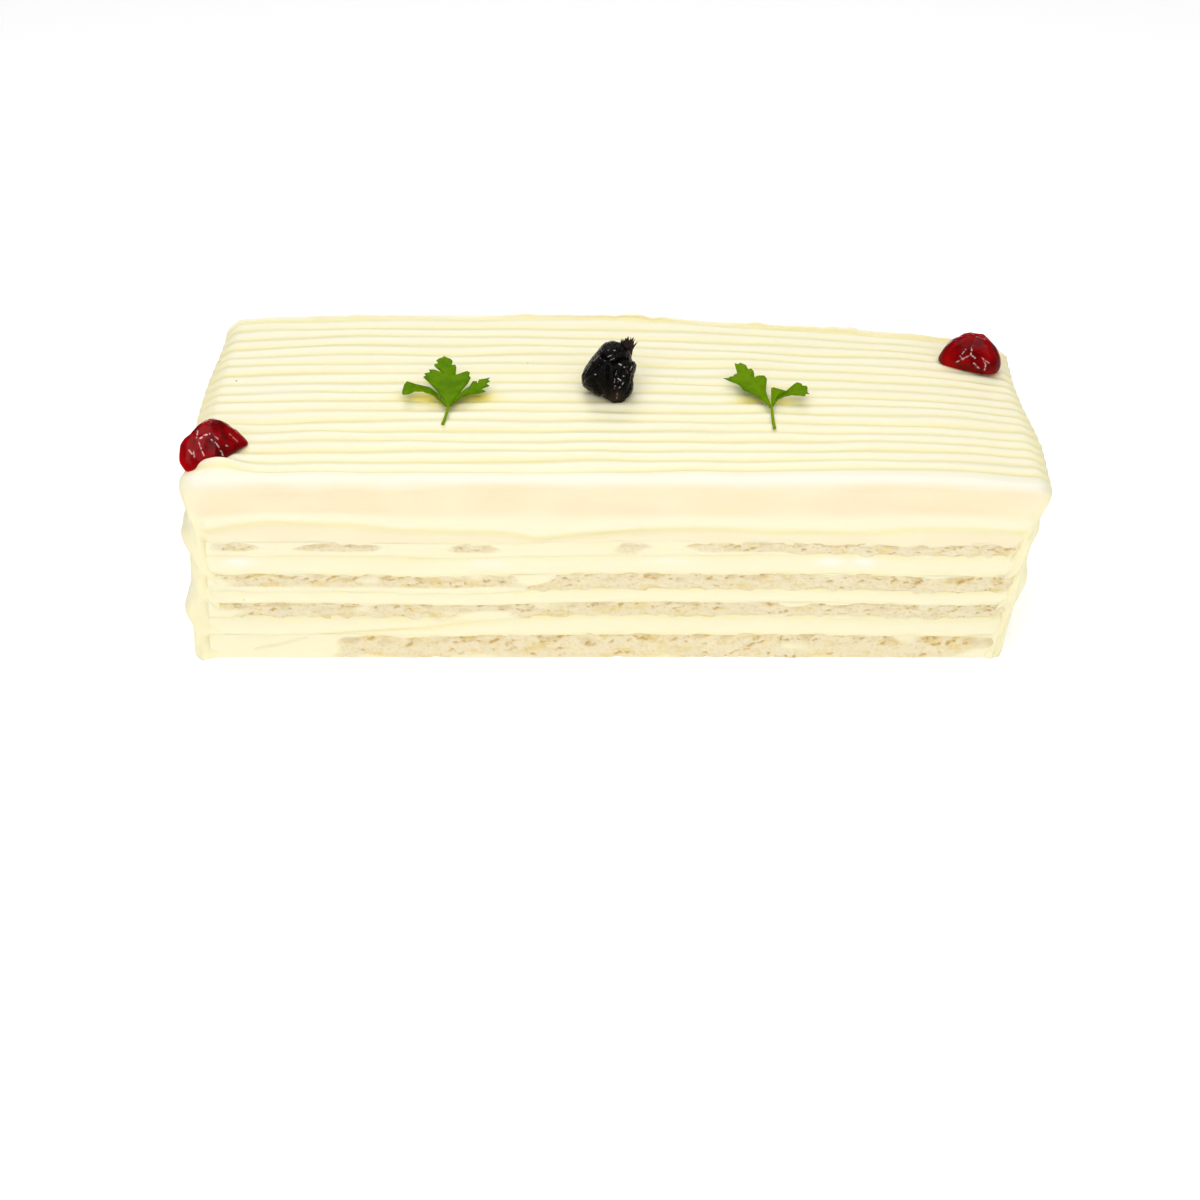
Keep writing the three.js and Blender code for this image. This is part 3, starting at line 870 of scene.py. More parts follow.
def band(x, rise, bottom, top, front, back):
    """Closed rings of a layer: up its front face, across its top, down its back face and
    across its bottom. Front and back say how far the faces stand out of their planes."""
    z = mix(bottom, top, rise)
    across = np.linspace(-0.8, 0.8, BAND_COLUMNS)[None, :] * HALF_DEPTH
    rings = [
        (x, -HALF_DEPTH - front, z),
        (x, across, top),
        (x, (HALF_DEPTH + back)[:, ::-1], z[:, ::-1]),
        (x, across[:, ::-1], bottom),
    ]
    return np.concatenate([settle(*ring) for ring in rings], axis=1)


def on_band(front, back):
    """A mark of a layer's faces on all of its rings, 0 across its top and bottom."""
    flat = np.zeros((BAND_STEPS, BAND_COLUMNS))
    return np.concatenate([front, flat, back[:, ::-1], flat], axis=1)


# Where smeared cream hides a slice: from, to, lowest and highest share of its height
SMEARS = {
    "bread_1": [(-150, -93, -1, 2), (-92, -62, 0.85, 2), (126, 140, -1, 0.4)],
    "bread_2": [(-150, -131, -1, 2), (-47, -30, -1, 0.5), (60, 80, 0.8, 2)],
    "bread_3": [
        (-150, -131, -1, 2), (-132, -90, -1, 0.25), (-88, -45, -1, 0.3), (-45, -30, -1, 0.35),
        (-28, -19, 0.5, 2),
    ],
    "bread_4": [
        (-150, -134, -1, 2), (-117, -105, -1, 2), (-76, -54, -1, 2), (-38, 1, -1, 2),
        (12, 26, -1, 2), (-132, -40, -1, 0.35), (30, 60, -1, 0.25), (135, 145, -1, 2),
    ],
}

# Crease in the cream over the lowest slice's left end, along the cake and up the slice
BREAD_CREASE = [(-118, 3.6), (-110, 5.6), (-101, 7.6)]


def slice_face(name, x, rise, bread, seed):
    """The cut face of a slice: set back crumb with pores, rising to the cream's plane
    where cream is smeared over it. Gives how far it stands out, the film, and the
    pores together with painted shade in dark specks along the slice's top."""
    z = rise * SLICE_HEIGHT
    wander = 0.35 * ripples(x, z, 10, seed, stretch=2.2)
    film = -0.85 + wander + 0.9 * np.abs(2 * rise - 1) ** 4
    for start, end, low, high in SMEARS[name]:
        upright = window(rise + 0.12 * wander, low, high, 0.2)
        film = film + 2.4 * window(x, start, end, 7) * upright
    film = smooth(film, -0.9, 0.9)
    warp = 0.5 * ripples(x, z, 3, seed + 6)
    distance, number = scattered((x + warp) / 1.9, z + 0.6 * warp, 2.3, seed)
    chance = 0.66 - 0.45 * smooth(rise, 0.45, 0.8) + 0.12 * ripples(x, 0, 25, seed + 5)
    pore = (1 - smooth(distance, 0.0, 0.38 + 0.5 * number)) * smooth(number, chance, chance + 0.15)
    fine, chosen = scattered(x / 1.4, z + warp, 1.2, seed + 50)
    pit = (1 - smooth(fine, 0.0, 0.5)) * smooth(chosen, 0.45, 0.8)
    bare = 1 - smooth(film, 0.35, 0.75)
    holes = pore + 0.3 * pit
    crumb = 0.2 * ripples(x, z, 5, seed + 1, 1.6) - bread.pore_depth / MM * bare * holes
    recess = bread.recess / MM
    covered = recess * (0.75 - 0.45 * np.abs(2 * rise - 1) ** 2.5)
    covered = covered + 0.12 * ripples(x, z, 8, seed + 2, 3)
    out = -recess + mix(crumb, covered, smooth(film, 0.3, 0.95))
    # Painted shade under the layer above: dark specks along the slice's top, kept with the pores
    top_shade = 0.4 * window(rise, 0.62, 1.1, 0.25) * smooth(ripples(x, z, 6, seed + 9, 2), -0.2, 1.2)
    crease = 0.7 * fold_depth(x, z, BREAD_CREASE, 0.5) if name == "bread_1" else 0
    return out - crease, film, np.clip(holes + top_shade, 0, 1) * bare


# Where a second roll starts and ends on a filling's front
FILLING_STREAKS = {"filling_1": (-92, -40)}
# Painted highlights on a filling's front: place, length and strength
FILLING_GLINTS = {
    "filling_3": [(-123, 5, 0.6), (73, 4, 0.7), (84, 3.5, 0.6), (-40, 6, 0.3), (20, 7, 0.3)],
}


def filling_face(x, rise, cream, seed, streak=None, glints=()):
    """A filling's face: a round bulge that swells and shrinks along the cake, with
    lengthwise knife marks. It thins out over the slices and over the end coats. The
    streak is a second roll that climbs to the right across it, with painted shade along
    it, and the glints are painted highlights. Painted shade also deepens the colour
    towards the face's edges. Gives how far it stands out and the mark of its colour."""
    swell = 0.6 + 0.25 * np.sin(x / 17 + seed * 1.9) + 0.15 * np.sin(x / 7 + seed)
    across = 2 * rise - 1 + 0.04 * ripples(x, 0, 24, seed + 5)
    section = np.clip(1 - np.abs(across) ** 2.2, 0, 1) ** 1.4
    bulge = mix(0.75, 1.0, swell) * cream.filling_bulge / MM
    z = rise * FILLING_HEIGHT
    marks = 0.14 * ripples(x, z, 5, seed + 3, stretch=5)
    marks = marks + 0.2 * ripples(x, z, 14, seed + 4, stretch=2)
    out = -0.95 + section * (bulge + 0.6 + marks)
    # Painted shade: yellower towards the face's edges
    yellow_and_shade = 0.48 + 0.4 * (1 - section) ** 2 + 0 * x
    if streak:
        start, end = streak
        along = np.clip((x - start) / (end - start), 0, 1)
        line = window(x, start, end, 9) * mound(rise - 0.2 - 0.6 * along, 0.09)
        out = out - 0.8 * line
        # Painted shade along the crease under the second roll
        yellow_and_shade = yellow_and_shade + 0.4 * line
    for at, length, strength in glints:
        # Painted highlights: paler places
        yellow_and_shade = yellow_and_shade - strength * mound(x - at, length) * mound(rise - 0.72, 0.16)
    past = np.maximum((INNER_LEFT - x) / LEFT_COAT, (x - INNER_RIGHT) / RIGHT_COAT)
    return mix(out, -1.9, smooth(past, 0, END_OVERLAP)), yellow_and_shade


def fold_depth(right, up, line, width):
    """How deep a fold is at a place: a bell of the distance to its bent line."""
    nearest = np.inf
    for start, end in zip(line[:-1], line[1:]):
        run_x, run_y = end[0] - start[0], end[1] - start[1]
        share = ((right - start[0]) * run_x + (up - start[1]) * run_y) / (run_x ** 2 + run_y ** 2)
        share = np.clip(share, 0, 1)
        distance = np.hypot(right - start[0] - share * run_x, up - start[1] - share * run_y)
        nearest = np.minimum(nearest, distance)
    return mound(nearest, width)


def cherry_rings(fruit, seed):
    """A cherry half on the cream: rings that follow its base outline and shrink towards
    its top, which rises as a dome that the outline's third numbers make steep or flat,
    with fine raised lines that carry painted glints. Gives the marks "thin", where light
    comes through, and "glint", the painted highlights on those lines."""
    profile = np.array(CHERRY_PROFILE)
    steps = np.linspace(0, len(profile) - 1, CHERRY_RINGS)
    radius = curve(steps, range(len(profile)), profile[:, 0])[:, None]
    rise = curve(steps, range(len(profile)), profile[:, 1])[:, None]
    outline = np.array(fruit["outline"])
    wrapped = np.concatenate([outline[-3:], outline, outline[:3]])
    places = np.arange(-3, len(outline) + 3)
    turn = np.linspace(0, len(outline), CHERRY_STEPS, endpoint=False)
    edge_u, edge_v, flat = (curve(turn, places, wrapped[:, i])[None, :] for i in range(3))
    peak_u, peak_v = fruit["peak"]
    u = edge_u * radius + peak_u * smooth(rise, 0, 1)
    v = edge_v * radius + peak_v * smooth(rise, 0, 1)
    low = rise ** flat
    skin = 0.25 * ripples(u, v, 9, seed) + 0.12 * ripples(u, v, 3.5, seed + 1)
    height = low * fruit["height"] + skin * smooth(low, 0.05, 0.35)
    along, y = fruit["place"]
    thin = smooth(-edge_u, 4, 9) * smooth(-edge_v, 1, 7) * smooth(radius, 0.4, 0.95)
    points = on_cream(along + u, y + v, fruit["seat"] + height)
    glint = painted_glint_lines(points - fruit["middle"], fruit["lines"]) * (low > 0.02)
    points = on_cream(along + u, y + v, fruit["seat"] + height + 0.12 * glint)
    return points, {"thin": [thin + 0 * height], "glint": [glint]}


# Share of a painted glint line's width over which its bell falls off
GLINT_LINE_WIDTH = 0.64


def painted_glint_lines(off, lines):
    """How strong the painted glints are at points given by how far they are off a fruit's
    middle: bells of the distance to bent lines, as seen from the viewer's side, broken
    where a smooth random relief is low, and none on flanks, where the cross product of
    the grid's two directions turns away. Each line has its points, right of and above
    the middle, its strength and its width."""
    right, up = off[..., 0], off @ VIEW_UP
    broken = smooth(ripples(right, up, 1.5, 7), -1.1, 0.1)
    total = 0
    for line, strength, width in lines:
        total = np.maximum(total, strength * fold_depth(right, up, line, GLINT_LINE_WIDTH * width))
    normal = np.cross(np.gradient(off, axis=0), np.gradient(off, axis=1))
    facing = np.abs(normal @ VIEW_OUT) / np.maximum(np.linalg.norm(normal, axis=-1), 1e-12)
    return total * broken * smooth(facing, 0.3, 0.6)


# Rings from the middle of a cherry's base round to its top: share of the outline's
# reach and share of the height
CHERRY_PROFILE = [
    (0.02, 0), (0.5, 0), (0.9, 0.0), (0.985, 0.05), (1, 0.17),
    (0.94, 0.36), (0.8, 0.59), (0.58, 0.80), (0.3, 0.95), (0.02, 1),
]

# Each base outline runs anticlockwise seen from above, from the right; the third number
# of a point is about 1 for a round side, more for a flatter one. The lines of painted
# glints are given from the middle, with their strength and width.
CHERRIES = {
    "cherry_front": {
        "place": (-133.0, -34.5),
        "outline": [
            (10.6, 2.1, 1.7), (7.8, 5.6, 1.3), (1.5, 7.4, 1.0), (-2.7, 6.2, 1.1),
            (-3.2, 2.0, 1.2), (-3.7, -3.6, 1.2), (-4.6, -8.9, 1.3), (-6.3, -13.0, 1.4),
            (-4.6, -13.0, 1.2), (-3.1, -11.0, 1.1), (-1.2, -9.9, 1.1), (2.0, -8.6, 1.1),
            (5.0, -5.8, 1.2), (7.8, -1.8, 1.4),
        ],
        "peak": (-2.0, 0.6),
        "height": 10.6,
        "seat": 0.3,
        "middle": (-134.0, -40.0, 80.0),
        "lines": [
            ([(1.0, 1.3), (2.8, 2.7), (4.3, 3.2)], 0.95, 0.34), ([(0.4, 4.2), (0.3, 1.9)], 0.8, 0.26),
            ([(1.0, 0.3), (1.7, -1.4), (2.6, -3.9)], 0.8, 0.26), ([(5.9, 2.6), (6.9, 1.6)], 0.7, 0.24),
            ([(4.9, 1.3), (6.5, 0), (7.4, -1.4), (8.2, -3.6)], 0.75, 0.26),
            ([(9.1, -0.3), (9.4, -0.5)], 0.7, 0.26), ([(-1.9, -2.3), (-1.0, -3.4)], 0.8, 0.3),
            ([(-0.6, -2.6), (-0.3, -4.4)], 0.7, 0.26), ([(9.5, 3.9), (12.1, 1.3)], 0.25, 0.3),
        ],
    },
    "cherry_back": {
        "place": (124.2, 30.8),
        "outline": [
            (10.9, -1.0, 0.9), (9.3, 4.2, 0.9), (4.5, 8.6, 0.9), (-2.0, 9.4, 1.0), (-7.8, 6.6, 1.1),
            (-10.6, 1.6, 1.2), (-10.2, -1.6, 1.2), (-8.6, -2.8, 1.2), (-5.0, -4.0, 1.3),
            (0.0, -5.2, 1.3), (5.0, -6.2, 1.2), (9.0, -5.0, 1.1),
        ],
        "peak": (0.0, 0.8),
        "height": 12.2,
        "seat": 0.2,
        "middle": (127.0, 28.0, 72.0),
        "lines": [
            ([(0.6, 2.3), (0.2, -0.6), (2.0, -2.0)], 0.85, 0.3), ([(-0.5, -1.1), (-4.8, -3.2)], 0.6, 0.3),
            ([(4.1, -1.6), (5.5, -4.1), (5.2, -5.9)], 0.7, 0.3), ([(1.3, -3.4), (3.4, -5.5)], 0.7, 0.3),
            ([(-1.6, 1.2), (-2.8, -0.4)], 0.5, 0.26), ([(2.0, 5.6), (5.0, 4.6)], 0.25, 0.26),
            ([(-3.4, -1.0), (-2.3, -2.2)], 0.5, 0.26), ([(5.2, -2.8), (6.6, -3.6)], 0.5, 0.26),
        ],
    },
}

# The prune's middle over the cream, its reach towards and away from the viewer's side,
# and its outline from there: the angle from the right, and the distance
PRUNE = {"x": -4.1, "y": 0.2, "height": 6.7, "reach": 9.0}
PRUNE_OUTLINE = [
    (0, 8.9), (22, 10.0), (38, 9.8), (55, 10.8), (72, 11.4), (90, 11.5), (105, 10.6),
    (117, 9.2), (131, 8.5), (151, 8.3), (180, 8.9), (197, 9.4), (210, 9.2), (230, 8.3),
    (257, 8.2), (271, 8.6), (284, 10.5), (294, 11.2), (307, 10.8), (322, 10.6), (336, 9.9), (350, 8.9),
]
# Folds seen from that side: the points of each, in millimetres right of and above the
# middle, with its depth and width. A depth below zero is a ridge.
PRUNE_FOLDS = [
    ([(-2.4, 5.6), (-0.4, 3.9), (1.7, 3.0), (3.6, 4.7), (8.2, 5.4)], 2.0, 0.75),
    ([(-2.8, 5.8), (2.5, 6.9), (5.0, 8.9)], 1.1, 0.7),
    ([(-8.3, -1.8), (-5.8, 1.2), (-3.4, 3.2)], 1.3, 0.8),
    ([(-9.0, -0.9), (-6.3, 3.0), (-3.4, 5.7)], -0.8, 0.4),
    ([(-7.8, -3.2), (-5.2, -0.6), (-2.6, 1.2)], -0.6, 0.4),
    ([(-5.8, -3.0), (-3.6, -5.2), (-1.6, -7.6)], 1.1, 0.7),
    ([(2.1, 0.4), (1.6, -4.6), (3.4, -9.8)], 0.9, 0.6),
    ([(4.3, 0.6), (3.9, -4.2), (4.0, -9.8)], 0.7, 0.5),
    ([(6.6, 1.6), (6.0, -3.4), (4.6, -9.6)], 0.9, 0.6),
    ([(8.2, -0.6), (7.6, -4.2), (5.4, -9.0)], 0.6, 0.5),
    ([(-1.0, 1.6), (-0.6, -2.4), (1.2, -7.4)], 0.6, 0.5),
]
# Lines of painted glints, given in the same way with their strength and width
PRUNE_LINES = [
    ([(-1.1, 7.4), (-0.9, 7.4)], 0.5, 0.22), ([(1.0, 7.4), (1.3, 7.4)], 0.6, 0.22),
    ([(-1.6, 4.9), (-0.3, 5.4), (0.3, 5.7)], 0.55, 0.24), ([(-3.4, 4.7), (-3.2, 4.6)], 0.4, 0.22),
    ([(-2.0, 3.8), (-0.8, 3.6), (1.1, 4.5)], 0.35, 0.22), ([(-3.6, 2.3), (-3.4, 2.3)], 0.35, 0.22),
    ([(-4.9, -1.0), (-4.7, -1.0)], 0.7, 0.26), ([(-1.7, -7.2), (-1.5, -7.4)], 0.7, 0.26),
    ([(2.9, 2.7), (3.7, 2.3)], 0.75, 0.24), ([(4.7, 1.7), (4.9, 1.6)], 0.55, 0.22),
    ([(5.6, 1.9), (5.7, 2.0)], 0.4, 0.22), ([(7.5, 2.3), (7.1, 1.1)], 0.5, 0.22),
    ([(5.9, 0.6), (6.3, -0.2)], 0.5, 0.22), ([(4.7, -1.3), (4.9, -1.4)], 0.55, 0.22),
    ([(2.9, -2.3), (3.9, -2.8)], 0.85, 0.24), ([(3.2, -3.4), (3.4, -3.5)], 0.85, 0.24),
    ([(1.9, -2.1), (1.8, -3.6)], 0.35, 0.2), ([(5.2, -3.2), (3.9, -4.9), (3.1, -5.7)], 0.5, 0.22),
    ([(2.1, -4.7), (2.3, -4.8)], 0.6, 0.22), ([(2.0, -5.4), (2.1, -5.5)], 0.5, 0.22),
    ([(3.1, -7.0), (3.2, -8.7)], 0.3, 0.2), ([(2.4, 0.2), (2.0, -1.1)], 0.25, 0.2),
    ([(-3.7, 5.7), (-6.5, 2.8), (-8.4, -1.1)], 0.2, 0.22), ([(-8.2, -2.8), (-5.0, 0.2)], 0.16, 0.22),
]
# The brown lower end and the foot of the tuft, right of and above the middle
PRUNE_TIP = (3.3, -8.7)
TUFT_PLACE = (5.2, 6.8)
TUFT_SPIKES = 26


def prune_rings():
    """A wrinkled ball. Seen from the viewer's side, its half circles are stretched to
    the outline, and folds are pressed in where they show; the far side has folds of
    its own, the zeros of a smooth random relief. It's flat where it rests. Gives the
    marks "glint", painted highlights along short lines, and "tip", at its brown lower end."""
    lengthwise = np.linspace(0.01, np.pi - 0.01, PRUNE_RINGS)[:, None]
    turn = np.linspace(0, 2 * np.pi, PRUNE_STEPS, endpoint=False)[None, :]
    up = np.cos(lengthwise) + 0 * turn
    right = np.sin(lengthwise) * np.cos(turn)
    out = np.sin(lengthwise) * np.sin(turn)
    angles, reaches = zip(*PRUNE_OUTLINE)
    angle = np.degrees(np.arctan2(up, right)) % 360
    wrapped = [a - 360 for a in angles] + list(angles) + [a + 360 for a in angles]
    reach = curve(angle, wrapped, reaches * 3)
    seen_right, seen_up = right * reach, up * reach
    near = smooth(out, -0.25, 0.25)
    depth = 0
    for line, deep, width in PRUNE_FOLDS:
        depth = depth + deep * fold_depth(seen_right, seen_up, line, width)
    far = ripples(seen_right, seen_up + 9 * out, 9, 80)
    depth = mix(1.5 * mound(far, 0.4), depth, near)
    fine = ripples(seen_right, seen_up + 4 * out, 3.2, 81)
    finest = ripples(seen_right, seen_up, 1.7, 82)
    depth = depth + 0.28 * mound(fine, 0.5) + 0.14 * mound(finest, 0.5)
    kept = 1 - depth / np.maximum(reach, PRUNE["reach"])
    seen = 0.4 + 0.6 * kept
    off = (seen_right * seen)[..., None] * VIEW_RIGHT + (seen_up * seen)[..., None] * VIEW_UP
    off = off + (out * PRUNE["reach"] * kept)[..., None] * VIEW_OUT
    glint = painted_glint_lines(off, PRUNE_LINES) * near
    tip = mound(np.hypot(seen_right - PRUNE_TIP[0], seen_up - PRUNE_TIP[1]), 2.2) * near
    height = np.maximum(PRUNE["height"] + off[..., 2], -0.3)
    points = on_cream(PRUNE["x"] + off[..., 0], PRUNE["y"] + off[..., 1], height)
    return points, {"glint": [glint], "tip": [tip]}


def tuft_tubes():
    """The crown of dry sepals at the prune's end: flat pointed spikes, each a section
    that narrows along a line bent away from the crown's middle."""
    draw = np.random.default_rng(4)
    tubes = []
    along = np.linspace(0, 1, SPIKE_RINGS)[:, None]
    turn = np.linspace(0, 2 * np.pi, SPIKE_STEPS, endpoint=False)[None, :]
    middle = np.array([PRUNE["x"], PRUNE["y"], PRUNE["height"]])
    middle = middle + TUFT_PLACE[0] * VIEW_RIGHT + TUFT_PLACE[1] * VIEW_UP - 0.6 * VIEW_OUT
    axis = 0.1 * VIEW_RIGHT + 0.95 * VIEW_UP
    for k in range(TUFT_SPIKES):
        around = 2.4 * k
        wide = draw.uniform(0.15, 1.0) ** 0.6
        side = math.cos(around) * VIEW_RIGHT + math.sin(around) * VIEW_OUT
        foot = middle + 1.9 * wide * side
        length = draw.uniform(5.2, 7.4) * (1.1 - 0.3 * wide)
        lean = axis + side * wide * draw.uniform(0.0, 0.4)
        line = foot + length * along * mix(axis, lean, along)
        across = np.cross(axis, side)
        half = mix(1.5, 0.1, along ** 2.2) * draw.uniform(0.6, 1.0)
        ring = np.cos(turn)[..., None] * across + 0.35 * np.sin(turn)[..., None] * side
        grid = line[:, None, :] + ring * half[..., None]
        tubes.append(on_cream(grid[..., 0], grid[..., 1], grid[..., 2]))
    return tubes


# Parsley. A sprig's scale is its width, its length and its lean to the side, and pale says
# how much of the ribs' colour its leaves have. A leaflet has a height over the sprig's
# plane, a camber that bends its edges down, a spine, from the fork of the stalk, and a
# left and a right edge, whose points have the share of the spine that their ribs leave.
LEAF_TILT = math.radians(11)
STALK_LIFT = 1.2
SPRIGS = {
    "parsley_left": {
        "fork": (-57.6, -13.6),
        "scale": (1.0, 1.04, -0.045),
        "pale": 0.0,
        "stalk": [(-0.1, 1.5), (-0.1, -0.5), (-0.5, -3.8), (-1.3, -8.0)],
        "leaflets": [
            {
                "lift": 0.5,
                "camber": 0.9,
                "spine": [(0, 0), (-2.3, 24.5)],
                "right": [
                    (0.5, 0.5, 0), (3.4, 6.8, 0.22), (6.5, 11.9, 0.36), (7.4, 14.5, 0.42),
                    (6.7, 15.5, 0.45), (7.1, 16.9, 0.48), (6.0, 17.9, 0.52), (4.2, 16.9, 0.55),
                    (2.1, 14.7, 0.58), (2.3, 19.9, 0.74), (1.9, 21.1, 0.8), (0.6, 20.6, 0.83),
                    (1.0, 22.6, 0.9), (0.2, 23.7, 0.95), (-1.7, 24.2, 1),
                ],
                "left": [
                    (-0.6, 0.3, 0), (-1.2, 2.4, 0.06), (-3.7, 7.6, 0.2), (-6.0, 10.8, 0.3),
                    (-9.0, 14.8, 0.42), (-8.0, 15.4, 0.44), (-8.7, 16.5, 0.47), (-6.5, 17.1, 0.5),
                    (-7.2, 18.3, 0.53), (-5.3, 18.5, 0.57), (-2.6, 17.3, 0.62), (-5.1, 19.7, 0.72),
                    (-5.4, 20.7, 0.76), (-4.0, 21.4, 0.82), (-4.7, 22.5, 0.88), (-3.6, 23.6, 0.94),
                    (-1.7, 24.2, 1),
                ],
            },
            {
                "lift": 0.1,
                "camber": 0.8,
                "spine": [(0.6, 1.5), (13.4, 12.6)],
                "right": [
                    (0.9, 0.9, 0), (1.9, 2.9, 0.1), (4.3, 5.3, 0.28), (7.0, 7.1, 0.44),
                    (10.4, 8.0, 0.6), (12.7, 8.6, 0.7), (10.9, 9.8, 0.76), (13.9, 10.9, 0.86),
                    (12.8, 12.0, 0.92), (14.0, 12.9, 1),
                ],
                "left": [
                    (0.8, 2.0, 0), (3.6, 7.2, 0.2), (7.0, 11.3, 0.42), (8.1, 13.8, 0.52),
                    (9.5, 13.9, 0.56), (9.6, 12.4, 0.6), (10.2, 14.6, 0.68), (11.8, 14.7, 0.74),
                    (14.0, 14.9, 0.86), (13.2, 13.8, 0.92), (14.0, 12.9, 1),
                ],
            },
            {
                "lift": 0.3,
                "camber": -1.2,
                "spine": [(-0.8, 0.8), (-4.8, 6.3), (-9.8, 9.0), (-15.4, 9.0)],
                "right": [
                    (-0.6, 1.2, 0), (-2.2, 2.9, 0.12), (-4.2, 6.3, 0.28), (-6.6, 8.8, 0.42),
                    (-8.9, 9.8, 0.56), (-11.6, 11.0, 0.74), (-14.4, 12.4, 0.88), (-15.2, 11.0, 0.94),
                    (-15.6, 9.3, 1),
                ],
                "left": [
                    (-1.2, 0.9, 0), (-2.9, 2.7, 0.14), (-5.9, 5.9, 0.32), (-8.6, 7.8, 0.48),
                    (-10.1, 8.5, 0.58), (-12.6, 7.1, 0.72), (-13.8, 5.9, 0.8), (-15.4, 5.7, 0.88),
                    (-15.9, 6.9, 0.95), (-15.6, 9.3, 1),
                ],
            },
        ],
    },
    "parsley_right": {
        "fork": (51.3, -12.0),
        "scale": (1.0, 1.12, 0.0),
        "pale": 0.3,
        "stalk": [(0.0, 2.0), (0.1, -1), (0.2, -5), (0.5, -10.1)],
        "leaflets": [
            {
                "lift": 0.5,
                "camber": 0.9,
                "spine": [(-0.3, 0.5), (-10.5, 19.3)],
                "right": [
                    (0, 0.5, 0), (-0.3, 3.0, 0.1), (-1.0, 5.9, 0.2), (-1.4, 8.9, 0.3),
                    (-1.1, 12.2, 0.4), (-0.8, 14.7, 0.47), (-1.6, 16.2, 0.51), (-3.2, 16.0, 0.54),
                    (-4.5, 15.5, 0.57), (-5.1, 14.3, 0.6), (-5.3, 17.4, 0.7), (-6.1, 18.6, 0.75),
                    (-7.3, 18.1, 0.78), (-7.9, 19.8, 0.85), (-9.9, 20.8, 0.94), (-11.0, 19.9, 1),
                ],
                "left": [
                    (-0.7, 0.3, 0), (-0.9, 1.3, 0.06), (-3.4, 4.6, 0.2), (-5.4, 6.5, 0.3),
                    (-7.7, 7.6, 0.37), (-9.3, 8.6, 0.43), (-9.9, 10.2, 0.48), (-11.1, 11.5, 0.53),
                    (-12.9, 12.5, 0.57), (-16.0, 14.5, 0.63), (-14.2, 14.0, 0.66), (-13.7, 15.0, 0.69),
                    (-12.6, 14.7, 0.72), (-12.0, 15.9, 0.76), (-11.1, 16.0, 0.8), (-11.2, 17.3, 0.85),
                    (-11.6, 18.9, 0.91), (-11.8, 20.8, 0.96), (-11.0, 19.9, 1),
                ],
            },
            {
                "lift": 0.1,
                "camber": 0.4,
                "spine": [(0.1, 1.5), (2.8, 8.6)],
                "right": [
                    (0.4, 1.2, 0), (1.1, 3.6, 0.25), (2.3, 5.8, 0.45), (3.8, 7.2, 0.6),
                    (5.6, 9.0, 0.8), (3.6, 9.3, 0.9), (0.9, 10.0, 1),
                ],
                "left": [(0, 2.2, 0), (0.2, 6.2, 0.45), (0.3, 9.8, 0.85), (0.9, 10.0, 1)],
            },
            {
                "lift": 0.4,
                "camber": -1.1,
                "spine": [(0.6, 1.2), (2.6, 5.0), (5.2, 6.8), (9.5, 8.2), (12.9, 8.4)],
                "right": [
                    (0.8, 0.9, 0), (1.1, 2.0, 0.08), (2.5, 4.6, 0.24), (4.5, 5.9, 0.38),
                    (6.5, 6.4, 0.5), (8.8, 5.9, 0.62), (10.6, 5.4, 0.72), (11.6, 5.6, 0.79),
                    (11.8, 6.7, 0.86), (13.3, 7.0, 0.94), (11.9, 7.7, 0.97), (12.0, 8.2, 1),
                ],
                "left": [
                    (0.4, 1.6, 0), (2.2, 4.9, 0.22), (4.3, 6.9, 0.38), (5.9, 8.6, 0.5),
                    (7.7, 10.5, 0.62), (9.0, 11.7, 0.7), (10.6, 11.2, 0.77), (10.9, 10.3, 0.8),
                    (12.3, 10.5, 0.87), (12.7, 9.5, 0.93), (12.0, 8.2, 1),
                ],
            },
        ],
    },
}
LEAF_THICKNESS = 0.34


def on_leaf(sprig, x, y, height):
    """Points over a sprig's tilted plane, which starts at the fork and climbs to the
    back, with the stalk coming down to the cream in front of it."""
    wide, long, lean = sprig["scale"]
    x, y = x * wide + lean * np.maximum(y, 0), np.where(y > 0, y * long, y)
    up = np.maximum(y, 0)
    rise = GAP + STALK_LIFT * smooth(y, -9, 0) + up * math.sin(LEAF_TILT) + height
    fork_x, fork_y = sprig["fork"]
    depth = fork_y + np.minimum(y, 0) + up * math.cos(LEAF_TILT)
    return on_cream(fork_x + x, depth, rise)


def rounded(at, places, values):
    """Straight lines through the points (places, values) with their corners rounded, as
    the mean over five neighbouring stations."""
    line = np.interp(at, places, values)
    wide = np.concatenate([line[[0, 0]], line, line[[-1, -1]]])
    mean = np.convolve(wide, (0.1, 0.25, 0.3, 0.25, 0.1), mode="valid")
    return np.concatenate([line[:1], mean[1:-1], line[-1:]])


